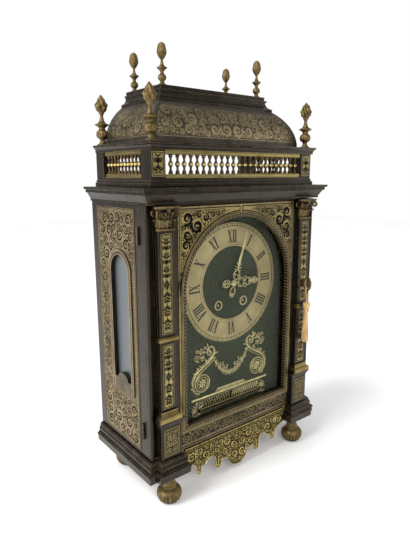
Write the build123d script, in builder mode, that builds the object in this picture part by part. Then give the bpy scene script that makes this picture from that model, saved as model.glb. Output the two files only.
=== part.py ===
from build123d import *
import math
import os

os.makedirs("parts", exist_ok=True)

# A religieuse table clock in an ebonised case with brass and shell veneers.
# Millimetres, +Z up, the front faces -Y, the origin on the floor under the middle of the whole clock.

# Driving sizes of the case
case_width = 317.0
case_depth = 144.0
foot_height = 44.5
base_height = 27.5
body_height = 346.0
cornice_height = 20.0
side_wall = 10.0
door_thickness = 17.0
door_gap = 0.5
door_reed = 5.5
door_channel = 5.0
door_sill_gap = 1.0
door_head_gap = 1.5
flat_gap = 0.3
running_gap = 0.05

# Feet
bun_radius = 18.0
bun_height = 27.0
foot_neck_radius = 9.0
foot_inset = 29.5
foot_front_inset = 3.0
foot_back_inset = 22.0
foot_contact_radius = 10.0

# Base, its breaks under the pilasters and the apron between them
base_overhang = 10.0
break_forward = 8.0
pedestal_outer_inset = 11.5
pedestal_inner_inset = 44.8
base_board_inset = 2.5
apron_top = 69.5
apron_thickness = 3.0
apron_lobe_bottom = 6.0

# Cornice, gallery, dome and platform
cornice_side_overhang = 12.0
cornice_front_overhang = 17.6
gallery_plinth_height = 12.0
gallery_inset = 10.0
gallery_front = 1.0
gallery_post = 22.0
gallery_clear_height = 34.5
gallery_cornice_height = 10.0
gallery_cornice_overhang = 6.0
rail_height = 5.0
rail_depth = 5.5
rail_inset = 1.5
baluster_radius = 3.3
front_balusters = 23
side_balusters = 10
dome_inset = 25.0
dome_front = 17.0
dome_height = 54.0
dome_foot = 6.0
dome_run = 28.3
dome_wall = 6.0
dome_bulge = 5.8
platform_height = 22.5
platform_inset = 62.0
platform_core_inset = 6.5
flame_height = 68.0
flame_radius = 10.0
flame_side_inset = 6.0
flame_front_inset = 7.5
flame_back_inset = 10.0
cone_height = 54.0
cone_radius = 7.0
cone_inset = 9.0

# Door, its arched opening and the dial behind it
dial_centre_z = 296.3
door_opening_radius = 104.0
door_opening_bottom = 101.5
arch_frame_inner = 99.5
arch_frame_outer = 107.0
arch_frame_proud = 2.5
arch_frame_tongue = 4.0
glass_thickness = 2.5
veneer = 0.8
field_inset = 48.5
field_margin = 3.0

# Pilasters
pilaster_width = 24.0
pilaster_inset = 25.8
pilaster_proud = 6.0
pedestal_top = 129.0
pilaster_cap_height = 8.0
pilaster_cap_swell = 3.6
pilaster_base_height = 14.0
pilaster_base_swell = 6.0
band_bottom = 239.5
band_height = 8.0
band_swell = 3.5
capital_height = 31.0
capital_top_width = 35.0
capital_proud = 14.0
panel_margin = 3.5
panel_relief = 0.5

# Side windows and side veneers
window_centre = 67.0
window_half_width = 30.0
window_arch_z = 326.0
window_bottom = 152.0
window_frame_width = 7.0
window_frame_depth = 6.5
window_frame_proud = 2.5
window_glass_thickness = 2.0
window_sill = 18.0
window_bump = 9.0
side_field_front = 26.0
side_field_back = 128.5
side_field_bottom = 78.0
side_field_top = 412.0

# Dial and hands
dial_board_front = 20.0
dial_board_thickness = 6.0
ring_outer = 90.0
ring_inner = 55.2
ring_thickness = 1.8
numeral_height = 19.0
numeral_relief = 0.2
winding_spacing = 49.6
winding_drop = 31.7
collet_outer = 7.5
collet_inner = 5.2
collet_thickness = 1.5
mount_half_width = 78.0
mount_bottom = 103.0
mount_tablet_top = 130.0
mount_relief = 3.0
rosette_offset = 56.0
rosette_z = 151.0
rosette_radius = 10.5
scroll_top = 205.0
hour_hand_length = 52.0
minute_hand_length = 80.0
hour_hand_reach = 5.0
minute_hand_reach = 7.8
hand_thickness = 1.2
shown_hour_angle = 91.5
shown_minute_angle = 18.0

# Movement
plate_half_width = 50.0
plate_bottom = 234.0
plate_top = 354.0
plate_thickness = 2.0
dial_foot_length = 10.0
dial_foot_radius = 3.0
plate_spacing = 42.0
pillar_radius = 3.5
pillar_inset = 7.0
arbor_radius = 1.5
pivot_radius = 1.0
wheel_thickness = 1.2
barrel_radius = 20.5
barrel_length = 24.0
winding_arbor_radius = 2.4
winding_square = 3.4
barrel_teeth = 84
barrel_module = 0.55
intermediate_pinion = 12
intermediate_teeth = 72
centre_pinion = 8
intermediate_module = 0.5
centre_teeth = 84
third_pinion = 7
centre_module = 0.42
third_teeth = 77
escape_pinion = 7
third_module = 0.40
escape_teeth = 30
escape_radius = 13.0
escape_rise = 30.0
anchor_rise = 18.0
cannon_teeth = 12
minute_teeth = 36
cannon_module = 0.5
minute_pinion = 12
hour_teeth = 48
hour_module = 0.4
cannon_radius = 2.2
hour_pipe_radius = 3.5
pendulum_length = 205.0
pendulum_reach = 14.0
rod_radius = 1.2
bob_radius = 20.0
bob_thickness = 14.0
bell_radius = 30.0
bell_height = 24.0
bell_rise = 20.0
bell_wall = 2.0
hammer_offset = 30.0
hammer_drop = 24.0
hammer_head_radius = 4.0
hammer_head_length = 9.0

# Back opening
back_thickness = 8.0
back_opening_half = 95.0
back_opening_bottom = 100.0
back_opening_top = 390.0
back_knob_reach = 10.0
back_knob_inset = 17.0
back_tongue_length = 22.0

# Lock, key, cord and tassel
keyhole_z = 281.0
bow_width = 15.0
bow_height = 23.0
bow_bar_radius = 1.5
bow_centre_reach = 16.0
shank_radius = 2.0
shank_gap = 0.4
lock_width = 30.0
lock_height = 52.0
lock_depth = 11.5
lock_cavity = 10.0
bolt_travel = 6.0
bolt_height = 8.0
bolt_depth = 4.0
cord_radius = 0.75
cord_gap = 0.35
cord_drop = 20.5
tassel_length = 67.0
tassel_skirt_radius = 7.75

# Hinges
knuckle_radius = 1.8
hinge_pin_radius = 0.8
hinge_length = 23.0
hinge_leaf = 0.8
hinge_leaf_width = 10.0
lower_hinge_z = 100.0
upper_hinge_z = 367.5
back_knuckle_radius = 1.6

# Places worked out from the sizes above
half_width = case_width / 2
foot_spread = case_width - 2 * foot_inset
pedestal_outer = half_width - pedestal_outer_inset
pedestal_inner = half_width - pedestal_inner_inset
gallery_half_width = half_width - gallery_inset
dome_half_width = half_width - dome_inset
platform_half_width = half_width - platform_inset
field_half_width = half_width - field_inset
pilaster_centre = half_width - pilaster_inset
front_reach = bow_centre_reach + tassel_skirt_radius
back_reach = case_depth + back_knob_reach
face_y = (front_reach - back_reach) / 2
back_y = face_y + case_depth
door_back_y = face_y + door_thickness
case_front_y = door_back_y + door_gap
break_y = face_y - break_forward
base_bottom = foot_height
base_top = base_bottom + base_height
body_top = base_top + body_height
cornice_top = body_top + cornice_height
door_bottom = base_top + door_sill_gap
door_top = body_top - door_head_gap
cornice_board_y = face_y - (cornice_front_overhang - cornice_side_overhang)
gallery_floor = cornice_top + gallery_plinth_height
gallery_roof = gallery_floor + gallery_clear_height
gallery_top = gallery_roof + gallery_cornice_height
gallery_y = face_y + gallery_front
dome_top = gallery_top + dome_height
dome_y = face_y + dome_front
platform_foot_half = dome_half_width - dome_run
platform_foot_y = dome_y + dome_run
platform_top = dome_top + platform_height
inner_x = half_width - side_wall
pilaster_half = pilaster_width / 2
pilaster_y = face_y - pilaster_proud
shaft_top = door_top - capital_height
board_y = face_y + dial_board_front
board_back_y = board_y + dial_board_thickness
ring_y = board_y - ring_thickness
plate1_y = board_back_y + dial_foot_length
plate1_back = plate1_y + plate_thickness
plate2_y = plate1_back + plate_spacing
plate2_back = plate2_y + plate_thickness
winding_x = winding_spacing / 2
winding_z = dial_centre_z - winding_drop
escape_z = dial_centre_z + escape_rise
anchor_z = escape_z + anchor_rise
pendulum_y = plate2_back + pendulum_reach
bob_z = anchor_z - pendulum_length
hinge_x = -half_width - knuckle_radius
hinge_y = door_back_y + door_gap / 2
key_x = pilaster_centre
window_y = face_y + window_centre
hand_y = board_y - hour_hand_reach
minute_y = board_y - minute_hand_reach
bolt_low = keyhole_z + lock_cavity + flat_gap


def at_y(y):
    """Upright plane across the clock; an extrusion from it comes towards the front."""
    return Plane.XZ.offset(-y)


def at_x(x):
    """Upright plane along the clock's depth; an extrusion from it goes towards +X."""
    return Plane.YZ.offset(x)


def save(part, name):
    part.label = name
    export_step(part, "parts/" + name + ".step")


def block(xs, ys, zs, mode=Mode.ADD):
    """Box between two corners, in the part being built."""
    with Locations(((xs[0] + xs[1]) / 2, (ys[0] + ys[1]) / 2, (zs[0] + zs[1]) / 2)):
        Box(abs(xs[1] - xs[0]), abs(ys[1] - ys[0]), abs(zs[1] - zs[0]), mode=mode)


def rod(x, z, y0, y1, radius, mode=Mode.ADD):
    """Cylinder along the depth between two places, in the part being built."""
    with Locations(Location((x, (y0 + y1) / 2, z), (90, 0, 0))):
        Cylinder(radius, abs(y1 - y0), mode=mode)


def post(x, y, z0, z1, radius, mode=Mode.ADD):
    """Upright cylinder in the part being built."""
    with Locations((x, y, (z0 + z1) / 2)):
        Cylinder(radius, abs(z1 - z0), mode=mode)


def group(solids):
    """Several separate solids of one node."""
    return Compound(children=list(solids))


def both_hands(part):
    """The part and its mirror image across the clock's middle."""
    return group([part, mirror(part, about=Plane.YZ)])


def moulding(points, outline):
    """Moulding mitred along a level path; outline draws its closed section as (outwards, up)."""
    start_x, start_y = points[0]
    with BuildPart() as run:
        with BuildLine():
            Polyline(*[(x, y, 0) for x, y in points])
        with BuildSketch(Plane(origin=(start_x, start_y, 0), x_dir=(-1, 0, 0), z_dir=(0, 1, 0))):
            with BuildLine():
                outline()
            make_face()
        sweep(transition=Transition.RIGHT)
    return run.part


def around(half, front):
    """Path from the back round the left side, the front and the right side."""
    return [(-half, back_y), (-half, front), (half, front), (half, back_y)]


def turned(points):
    """Solid turned about the Z axis from (radius, height) points that close on the axis."""
    with BuildPart() as piece:
        with BuildSketch(Plane.XZ):
            with BuildLine():
                Polyline(*points, close=True)
            make_face()
        revolve(axis=Axis.Z)
    return piece.part


def arch(half, bottom, centre):
    """Round-headed outline, in a sketch's own plane, springing at the given height."""
    with Locations((0, (bottom + centre) / 2)):
        Rectangle(2 * half, centre - bottom)
    with Locations((0, centre)):
        Circle(half)


# Bun feet with a neck up to the base
with BuildPart() as foot:
    with BuildSketch(Plane.XZ):
        with BuildLine():
            Polyline((foot_neck_radius, bun_height), (foot_neck_radius, foot_height), (0, foot_height),
                     (0, 0), (foot_contact_radius, 0))
            ThreePointArc((foot_contact_radius, 0), (bun_radius, bun_height / 2),
                          (foot_neck_radius, bun_height))
        make_face()
    revolve(axis=Axis.Z)
foot_places = [(x, y) for x in (-foot_spread / 2, foot_spread / 2)
               for y in (face_y + foot_front_inset, back_y - foot_back_inset)]
save(group([Pos(x, y, 0) * foot.part for x, y in foot_places]), "bun_feet")

# Base board, breaking forward under the pilasters
board_front = face_y + base_board_inset
with BuildPart() as base_board:
    block((-half_width + base_board_inset, half_width - base_board_inset), (board_front, back_y),
          (base_bottom, base_top))
    for hand in (-1, 1):
        block((hand * (pedestal_inner + base_board_inset), hand * (pedestal_outer - base_board_inset)),
              (board_front - break_forward, board_front), (base_bottom, base_top))
save(base_board.part, "base_board")


# Base moulding: fascia, fillet, cove and reeds, mitred round each side and each break
def base_outline():
    def at(out, share):
        return (out * base_overhang, base_bottom + share * base_height)

    back = -base_board_inset
    Polyline((back, base_top), (back, base_bottom), at(0.86, 0), at(0.92, 0.31), at(1, 0.33), at(1, 0.42),
             at(0.82, 0.44), at(0.82, 0.48))
    ThreePointArc(at(0.82, 0.48), at(0.64, 0.53), at(0.56, 0.63))
    Polyline(at(0.56, 0.63), at(0.66, 0.65), at(0.66, 0.71), at(0.5, 0.73))
    ThreePointArc(at(0.5, 0.73), at(0.52, 0.79), at(0.38, 0.83))
    Polyline(at(0.38, 0.83), at(0.46, 0.85), at(0.46, 0.9), at(0.34, 0.92), at(0.34, 0.95), (2.5, base_top),
             (back, base_top))


base_path = [(-half_width, back_y), (-half_width, face_y), (-pedestal_outer, face_y),
             (-pedestal_outer, break_y), (-pedestal_inner, break_y), (-pedestal_inner, board_front)]
save(both_hands(moulding(base_path, base_outline)), "base_moulding")

# Gilt apron pinned to the front of the base board between the two breaks
apron_half = pedestal_inner - base_overhang - flat_gap
apron_edge = [(16, 12.5), (20, 24.5), (33, 27), (36.5, 16), (43.5, 16), (47, 38), (58, 40), (66, 33),
              (74, 31), (75, 20), (80, 20), (82, 33), (92, 40), (apron_half, 44)]
with BuildPart() as apron:
    with BuildSketch(at_y(board_front)):
        with BuildLine():
            ThreePointArc((-apron_edge[0][0], apron_edge[0][1]), (0, apron_lobe_bottom), apron_edge[0])
            Polyline(*apron_edge, (apron_half, apron_top), (-apron_half, apron_top),
                     *[(-x, z) for x, z in reversed(apron_edge)])
        make_face()
    extrude(amount=apron_thickness)
save(apron.part, "apron")

# Case sides, each with a round-headed window
side_boards = {}
for hand, side_name in ((-1, "left_side"), (1, "right_side")):
    with BuildPart() as side:
        block((hand * inner_x, hand * half_width), (case_front_y, back_y), (base_top, body_top))
        with BuildSketch(at_x(-half_width if hand < 0 else inner_x)):
            with Locations((window_y, 0)):
                arch(window_half_width, window_bottom, window_arch_z)
        extrude(amount=side_wall, mode=Mode.SUBTRACT)
        if hand < 0:
            for z in (lower_hinge_z, upper_hinge_z):
                block((-half_width, -half_width + hinge_leaf_width), (case_front_y, case_front_y + hinge_leaf),
                      (z, z + hinge_length), Mode.SUBTRACT)
        else:
            block((inner_x, inner_x + bolt_travel),
                  (door_back_y + lock_depth / 2 - bolt_depth / 2 - flat_gap,
                   door_back_y + lock_depth / 2 + bolt_depth / 2 + flat_gap),
                  (bolt_low - flat_gap, bolt_low + bolt_height + flat_gap), Mode.SUBTRACT)
    save(side.part, side_name)

# Brass and shell veneer on the outside of each case side, round the window
with BuildPart() as side_veneer:
    block((-half_width - veneer, -half_width), (face_y + side_field_front, face_y + side_field_back),
          (side_field_bottom, side_field_top))
    with BuildSketch(at_x(-half_width - veneer)):
        with Locations((window_y, 0)):
            arch(window_half_width, window_bottom, window_arch_z)
    extrude(amount=veneer, mode=Mode.SUBTRACT)
save(both_hands(side_veneer.part), "side_marquetry")

# Gilt frame set in each side window, with a bowed sill panel
frame_half = window_half_width - window_frame_width
frame_x = -half_width - window_frame_proud
with BuildPart() as window_frame:
    with BuildSketch(at_x(frame_x)):
        with Locations((window_y, 0)):
            arch(window_half_width, window_bottom, window_arch_z)
        with Locations((window_y, 0)):
            arch_bottom = window_bottom + window_sill
            with Locations((0, (arch_bottom + window_arch_z) / 2)):
                Rectangle(2 * frame_half, window_arch_z - arch_bottom, mode=Mode.SUBTRACT)
            with Locations((0, window_arch_z)):
                Circle(frame_half, mode=Mode.SUBTRACT)
        with Locations((window_y, window_bottom + window_sill)):
            Ellipse(frame_half - window_bump, window_bump)
    extrude(amount=window_frame_depth)
save(both_hands(window_frame.part), "window_frames")

# Side window glass behind each frame
with BuildPart() as window_glass:
    with BuildSketch(at_x(frame_x + window_frame_depth)):
        with Locations((window_y, 0)):
            arch(window_half_width - flat_gap, window_bottom + flat_gap, window_arch_z)
    extrude(amount=window_glass_thickness)
save(both_hands(window_glass.part), "window_glass")

# Back panel with its door opening
with BuildPart() as back_panel:
    block((-inner_x, inner_x), (back_y - back_thickness, back_y), (base_top, body_top))
    block((-back_opening_half, back_opening_half), (back_y - back_thickness, back_y),
          (back_opening_bottom, back_opening_top), Mode.SUBTRACT)
save(back_panel.part, "back_panel")

# Top board inside the main cornice
with BuildPart() as top_board:
    block((-half_width, half_width), (cornice_board_y, back_y), (body_top, cornice_top))
save(top_board.part, "top_board")


# Main cornice: fillet, small step and a deep cove
def cornice_outline():
    reach = cornice_side_overhang
    Polyline((0, body_top), (2, body_top), (2, body_top + 3))
    ThreePointArc((2, body_top + 3), (5, body_top + 8.5), (reach - 5, body_top + 11.5))
    Polyline((reach - 5, body_top + 11.5), (reach - 3, body_top + 12), (reach - 3, cornice_top - 4.5),
             (reach, cornice_top - 3), (reach, cornice_top), (0, cornice_top), (0, body_top))


save(moulding(around(half_width, cornice_board_y), cornice_outline), "cornice")

# Gallery floor with stepped edges and the four corner posts
with BuildPart() as gallery_plinth:
    for swell, low, high in ((3.0, 0, 0.45), (1.2, 0.45, 0.75), (0, 0.75, 1)):
        block((-gallery_half_width - swell, gallery_half_width + swell), (gallery_y - swell, back_y),
              (cornice_top + low * gallery_plinth_height, cornice_top + high * gallery_plinth_height))
    for hand in (-1, 1):
        for y in (gallery_y, back_y - gallery_post):
            block((hand * (gallery_half_width - gallery_post), hand * gallery_half_width), (y, y + gallery_post),
                  (gallery_floor, gallery_roof))
save(gallery_plinth.part, "gallery_plinth")

# Brass rails between the posts, above and below the balusters
bay_half = gallery_half_width - gallery_post
side_bay = (gallery_y + gallery_post, back_y - gallery_post)
rail_y = gallery_y + rail_inset + rail_depth / 2
rail_x = gallery_half_width - rail_inset - rail_depth / 2
rail_heights = ((gallery_floor, gallery_floor + rail_height), (gallery_roof - rail_height, gallery_roof))
rails = []
for low, high in rail_heights:
    with BuildPart() as front_rail:
        block((-bay_half, bay_half), (rail_y - rail_depth / 2, rail_y + rail_depth / 2), (low, high))
    rails.append(front_rail.part)
    for hand in (-1, 1):
        with BuildPart() as side_rail:
            block((hand * rail_x - rail_depth / 2, hand * rail_x + rail_depth / 2), side_bay, (low, high))
        rails.append(side_rail.part)
save(group(rails), "gallery_rails")

# Turned balusters, thick at both ends, with a bead in the middle
low = gallery_floor + rail_height
clear = gallery_clear_height - 2 * rail_height
full = baluster_radius
half_profile = [(0.8 * full, 0), (0.76 * full, 0.05), (0.5 * full, 0.14), (0.4 * full, 0.24),
                (0.48 * full, 0.34), (0.62 * full, 0.4), (full, 0.46)]
profile = ([(0, low)] + [(r, low + t * clear) for r, t in half_profile]
           + [(r, low + (1 - t) * clear) for r, t in reversed(half_profile)] + [(0, low + clear)])
baluster = turned(profile)
front_pitch = 2 * bay_half / (front_balusters + 1)
side_pitch = (side_bay[1] - side_bay[0]) / (side_balusters + 1)
baluster_places = [(-bay_half + (i + 1) * front_pitch, rail_y) for i in range(front_balusters)]
for hand in (-1, 1):
    baluster_places += [(hand * rail_x, side_bay[0] + (i + 1) * side_pitch) for i in range(side_balusters)]
save(group([Pos(x, y, 0) * baluster for x, y in baluster_places]), "balusters")


# Gallery cornice: a board with a moulded edge
def gallery_cornice_outline():
    reach = gallery_cornice_overhang
    Polyline((0, gallery_roof), (2.5, gallery_roof), (2.5, gallery_roof + 2.5))
    ThreePointArc((2.5, gallery_roof + 2.5), (3.2, gallery_roof + 4.8), (reach - 1.2, gallery_roof + 6.5))
    Polyline((reach - 1.2, gallery_roof + 6.5), (reach - 1.2, gallery_top - 3), (reach, gallery_top - 2.5),
             (reach, gallery_top), (0, gallery_top), (0, gallery_roof))


gallery_board_half = gallery_half_width - 1.5
gallery_board_y = gallery_y - 0.9
with BuildPart() as gallery_cornice:
    block((-gallery_board_half, gallery_board_half), (gallery_board_y, back_y), (gallery_roof, gallery_top))
    add(moulding(around(gallery_board_half, gallery_board_y), gallery_cornice_outline))
save(gallery_cornice.part, "gallery_cornice")


# Dome: a bowed shell on three sides and a flat board at the back
dome_spring = gallery_top + dome_foot
slope = math.hypot(dome_run, dome_top - dome_spring)
out_x, out_z = (dome_top - dome_spring) / slope, dome_run / slope


def bow(inset):
    """Bowed flank, as the three points of an arc, set in by the wall."""
    middle = (-dome_run / 2 + dome_bulge * out_x, (dome_spring + dome_top) / 2 + dome_bulge * out_z)
    return ((-inset, dome_spring), (middle[0] - inset * out_x, middle[1] - inset * out_z),
            (-dome_run - inset, dome_top))


def dome_outline():
    Line((-dome_wall, gallery_top), (0, gallery_top))
    Line((0, gallery_top), (0, dome_spring))
    ThreePointArc(*bow(0))
    Line(bow(0)[2], bow(dome_wall)[2])
    ThreePointArc(*reversed(bow(dome_wall)))
    Line((-dome_wall, dome_spring), (-dome_wall, gallery_top))


with BuildPart() as dome:
    add(moulding(around(dome_half_width, dome_y), dome_outline))
    with BuildSketch(at_y(back_y)):
        with BuildLine():
            left_bow = [(-dome_half_width - x, z) for x, z in bow(0)]
            right_bow = [(-x, z) for x, z in left_bow]
            ThreePointArc(*left_bow)
            ThreePointArc(*right_bow)
            Line(left_bow[2], right_bow[2])
            Polyline(left_bow[0], (-dome_half_width, gallery_top), (dome_half_width, gallery_top), right_bow[0])
        make_face()
    extrude(amount=dome_wall)
save(dome.part, "dome")


# Platform on the dome: foot fillet, cove, thin fillet and slab edge
def platform_outline():
    core = platform_half_width - platform_core_inset
    foot_out = platform_foot_half - core
    slab_out = platform_core_inset
    Polyline((0, platform_top), (0, dome_top), (foot_out, dome_top), (foot_out, dome_top + 4.3))
    ThreePointArc((foot_out, dome_top + 4.3), (slab_out + 3, dome_top + 8), (slab_out + 1, dome_top + 14))
    Polyline((slab_out + 1, dome_top + 14), (slab_out + 2.7, dome_top + 14.5), (slab_out + 2.7, dome_top + 17),
             (slab_out, dome_top + 17.5), (slab_out, platform_top), (0, platform_top))


core_half = platform_half_width - platform_core_inset
core_y = platform_foot_y + platform_foot_half - core_half
with BuildPart() as top_platform:
    block((-core_half, core_half), (core_y, back_y), (dome_top, platform_top))
    add(moulding(around(core_half, core_y), platform_outline))
save(top_platform.part, "top_platform")

# Flame finials on the gallery cornice
flame_profile = [(0, 0), (0.75, 0), (0.75, 0.03), (0.45, 0.07), (0.32, 0.11), (0.7, 0.16), (0.82, 0.22),
                 (0.72, 0.29), (0.4, 0.34), (0.55, 0.37), (1.0, 0.4), (1.0, 0.43), (0.55, 0.46), (0.3, 0.53),
                 (0.26, 0.62), (0.48, 0.67), (0.74, 0.75), (0.72, 0.84), (0.46, 0.93), (0.15, 0.985), (0, 1)]
flame = turned([(r * flame_radius, gallery_top + t * flame_height) for r, t in flame_profile])
flame_x = gallery_half_width - flame_side_inset
flame_places = [(x, y) for x in (-flame_x, flame_x) for y in (gallery_y + flame_front_inset, back_y - flame_back_inset)]
save(group([Pos(x, y, 0) * flame for x, y in flame_places]), "flame_finials")

# Pine-cone finials on the corners of the platform
cone_profile = [(0, 0), (0.75, 0), (0.75, 0.03), (0.4, 0.08), (0.5, 0.11), (0.8, 0.17), (0.72, 0.24),
                (0.38, 0.3), (0.3, 0.34), (0.7, 0.38), (1.0, 0.4), (1.0, 0.43), (0.5, 0.46), (0.28, 0.52),
                (0.28, 0.58), (0.68, 0.65), (0.88, 0.75), (0.78, 0.86), (0.44, 0.95), (0, 1)]
cone = turned([(r * cone_radius, platform_top + t * cone_height) for r, t in cone_profile])
cone_x = platform_half_width - cone_inset
cone_front_y = core_y - platform_core_inset + cone_inset
cone_places = [(x, y) for x in (-cone_x, cone_x) for y in (cone_front_y, back_y - cone_inset)]
save(group([Pos(x, y, 0) * cone for x, y in cone_places]), "cone_finials")

# Velvet-covered dial board between the case sides, notched for the lock
lock_low_z = keyhole_z - lock_height / 2
lock_x0 = key_x - lock_width / 2
lock_x1 = key_x + lock_width / 2
with BuildPart() as dial_board:
    block((-inner_x, inner_x), (board_y, board_back_y), (base_top, body_top))
    block((lock_x0 - 2, inner_x), (board_y, board_back_y), (lock_low_z - 2, lock_low_z + lock_height + 2),
          Mode.SUBTRACT)
    rod(0, dial_centre_z, board_y, board_back_y, hour_pipe_radius + 1.5, Mode.SUBTRACT)
    for hand in (-1, 1):
        rod(hand * winding_x, winding_z, board_y, board_back_y, collet_inner, Mode.SUBTRACT)
save(dial_board.part, "dial_board")

# Chapter ring
with BuildPart() as chapter_ring:
    with BuildSketch(at_y(board_y)):
        with Locations((0, dial_centre_z)):
            Circle(ring_outer)
            Circle(ring_inner, mode=Mode.SUBTRACT)
    extrude(amount=ring_thickness)
save(chapter_ring.part, "chapter_ring")

# Filled hour numerals and minute track on the ring
numeral_words = ["XII", "I", "II", "III", "IIII", "V", "VI", "VII", "VIII", "IX", "X", "XI"]
stroke = 2.6
hair = 0.9
numeral_radius = ring_inner + 5 + numeral_height / 2
track_radius = ring_outer - 5.0
letter_width = {"I": 4.2, "V": 9.5, "X": 9.5}


def letter(shape, x):
    """One Roman letter standing on the numeral circle, in the sketch being drawn."""
    tall = numeral_height
    if shape == "I":
        with Locations((x, 0)):
            Rectangle(stroke, tall)
        for z in (-tall / 2 + hair / 2, tall / 2 - hair / 2):
            with Locations((x, z)):
                Rectangle(stroke + 1.6, hair)
        return
    lean = 5.6
    if shape == "X":
        bars = ((-lean / 2, lean / 2, stroke), (lean / 2, -lean / 2, hair))
    else:
        bars = ((-lean / 2, 0, stroke), (lean / 2, 0, hair))
    for top_x, low_x, thick in bars:
        with Locations((x, 0)):
            Polygon((top_x - thick / 2, tall / 2), (low_x - thick / 2, -tall / 2), (low_x + thick / 2, -tall / 2),
                    (top_x + thick / 2, tall / 2), align=None)
    for x_side in (-lean / 2, lean / 2):
        with Locations((x + x_side, tall / 2 - hair / 2)):
            Rectangle(stroke + 1.0, hair)


numerals = []
for hour, word in enumerate(numeral_words):
    angle = math.radians(30 * hour)
    up = (math.sin(angle), 0, math.cos(angle))
    across = (math.cos(angle), 0, -math.sin(angle))
    centre = (numeral_radius * up[0], ring_y, dial_centre_z + numeral_radius * up[2])
    total = sum(letter_width[c] for c in word)
    with BuildPart() as numeral:
        with BuildSketch(Plane(origin=centre, x_dir=across, z_dir=(0, -1, 0))):
            start = -total / 2
            for c in word:
                letter(c, start + letter_width[c] / 2)
                start += letter_width[c]
        extrude(amount=numeral_relief)
    numerals += numeral.part.solids()
with BuildPart() as track:
    with BuildSketch(at_y(ring_y)):
        with Locations((0, dial_centre_z)):
            Circle(track_radius + hair / 2)
            Circle(track_radius - hair / 2, mode=Mode.SUBTRACT)
    extrude(amount=numeral_relief)
numerals.append(track.part)
save(group(numerals), "chapter_numerals")

# Gilt mounts on the dial board: scrolled tablet, rosettes and the two winding collets
with BuildPart() as dial_mount:
    block((-mount_half_width, mount_half_width), (board_y - mount_relief, board_y),
          (mount_bottom + 8, mount_tablet_top))
    block((-mount_half_width + 12, mount_half_width - 12), (board_y - mount_relief, board_y),
          (mount_bottom, mount_bottom + 8))
    with BuildSketch(at_y(board_y)):
        with Locations((0, (mount_tablet_top + rosette_z) / 2)):
            Trapezoid(2 * rosette_offset, rosette_z - mount_tablet_top + 2, 75)
        for hand in (-1, 1):
            with Locations((hand * rosette_offset, rosette_z)):
                Circle(rosette_radius)
            with BuildLine() as scroll:
                Spline((hand * 70, mount_tablet_top + 2), (hand * 72, rosette_z + 20),
                       (hand * 58, scroll_top - 22), (hand * 36, scroll_top - 8), (hand * 28, scroll_top - 24))
            trace(scroll.line, 6.4)
    extrude(amount=mount_relief)
winding_collets = []
for hand in (-1, 1):
    with BuildPart() as collet:
        rod(hand * winding_x, winding_z, board_y - collet_thickness, board_y, collet_outer)
        rod(hand * winding_x, winding_z, board_y - collet_thickness, board_y, collet_inner, Mode.SUBTRACT)
    winding_collets.append(collet.part)
save(group([dial_mount.part] + winding_collets), "dial_mounts")

# Front door: one board with a round-headed opening, a keyhole, hinge recesses and reeded outer corners
with BuildPart() as door_frame:
    block((-half_width, half_width), (face_y, door_back_y), (door_bottom, door_top))
    with BuildSketch(at_y(door_back_y)):
        arch(door_opening_radius, door_opening_bottom, dial_centre_z)
    extrude(amount=door_thickness, mode=Mode.SUBTRACT)
    rod(key_x, keyhole_z, face_y, door_back_y, shank_radius + shank_gap, Mode.SUBTRACT)
    block((key_x - shank_radius + shank_gap, key_x + shank_radius - shank_gap), (face_y, door_back_y),
          (keyhole_z - lock_cavity + 1, keyhole_z), Mode.SUBTRACT)
    for z in (lower_hinge_z, upper_hinge_z):
        block((-half_width, -half_width + hinge_leaf_width), (door_back_y - hinge_leaf, door_back_y),
              (z, z + hinge_length), Mode.SUBTRACT)
    for hand in (-1, 1):
        block((hand * (half_width - door_reed), hand * (pilaster_centre + pilaster_half)),
              (face_y, face_y + door_channel), (door_bottom, door_top), Mode.SUBTRACT)
        block((hand * (half_width - 0.8), hand * half_width), (face_y + door_reed, face_y + door_reed + 1),
              (door_bottom, door_top), Mode.SUBTRACT)
    reed_edges = [e for e in door_frame.edges().filter_by(Axis.Z)
                  if abs(e.center().Y - face_y) < 0.01 and abs(e.center().X) > half_width - door_reed - 0.01]
    fillet(reed_edges, 0.47 * door_reed)
save(door_frame.part, "door_frame")

# Brass moulding round the glass, with a tongue into the opening
arch_outer_bottom = door_opening_bottom - (arch_frame_outer - door_opening_radius)
arch_inner_bottom = door_opening_bottom + (door_opening_radius - arch_frame_inner)
with BuildPart() as arch_frame:
    for outer, low_z, near, far in ((arch_frame_outer, arch_outer_bottom, face_y - arch_frame_proud, face_y),
                                    (door_opening_radius, door_opening_bottom, face_y,
                                     face_y + arch_frame_tongue)):
        with BuildSketch(at_y(far)):
            arch(outer, low_z, dial_centre_z)
        extrude(amount=far - near)
    with BuildSketch(at_y(face_y + arch_frame_tongue)):
        arch(arch_frame_inner, arch_inner_bottom, dial_centre_z)
    extrude(amount=arch_frame_tongue + arch_frame_proud, mode=Mode.SUBTRACT)
save(arch_frame.part, "door_arch_frame")

# Door glass in the opening, behind the tongue of the moulding
with BuildPart() as door_glass:
    with BuildSketch(at_y(face_y + arch_frame_tongue + glass_thickness)):
        arch(door_opening_radius - flat_gap, door_opening_bottom + flat_gap, dial_centre_z)
    extrude(amount=glass_thickness)
save(door_glass.part, "door_glass")

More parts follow.
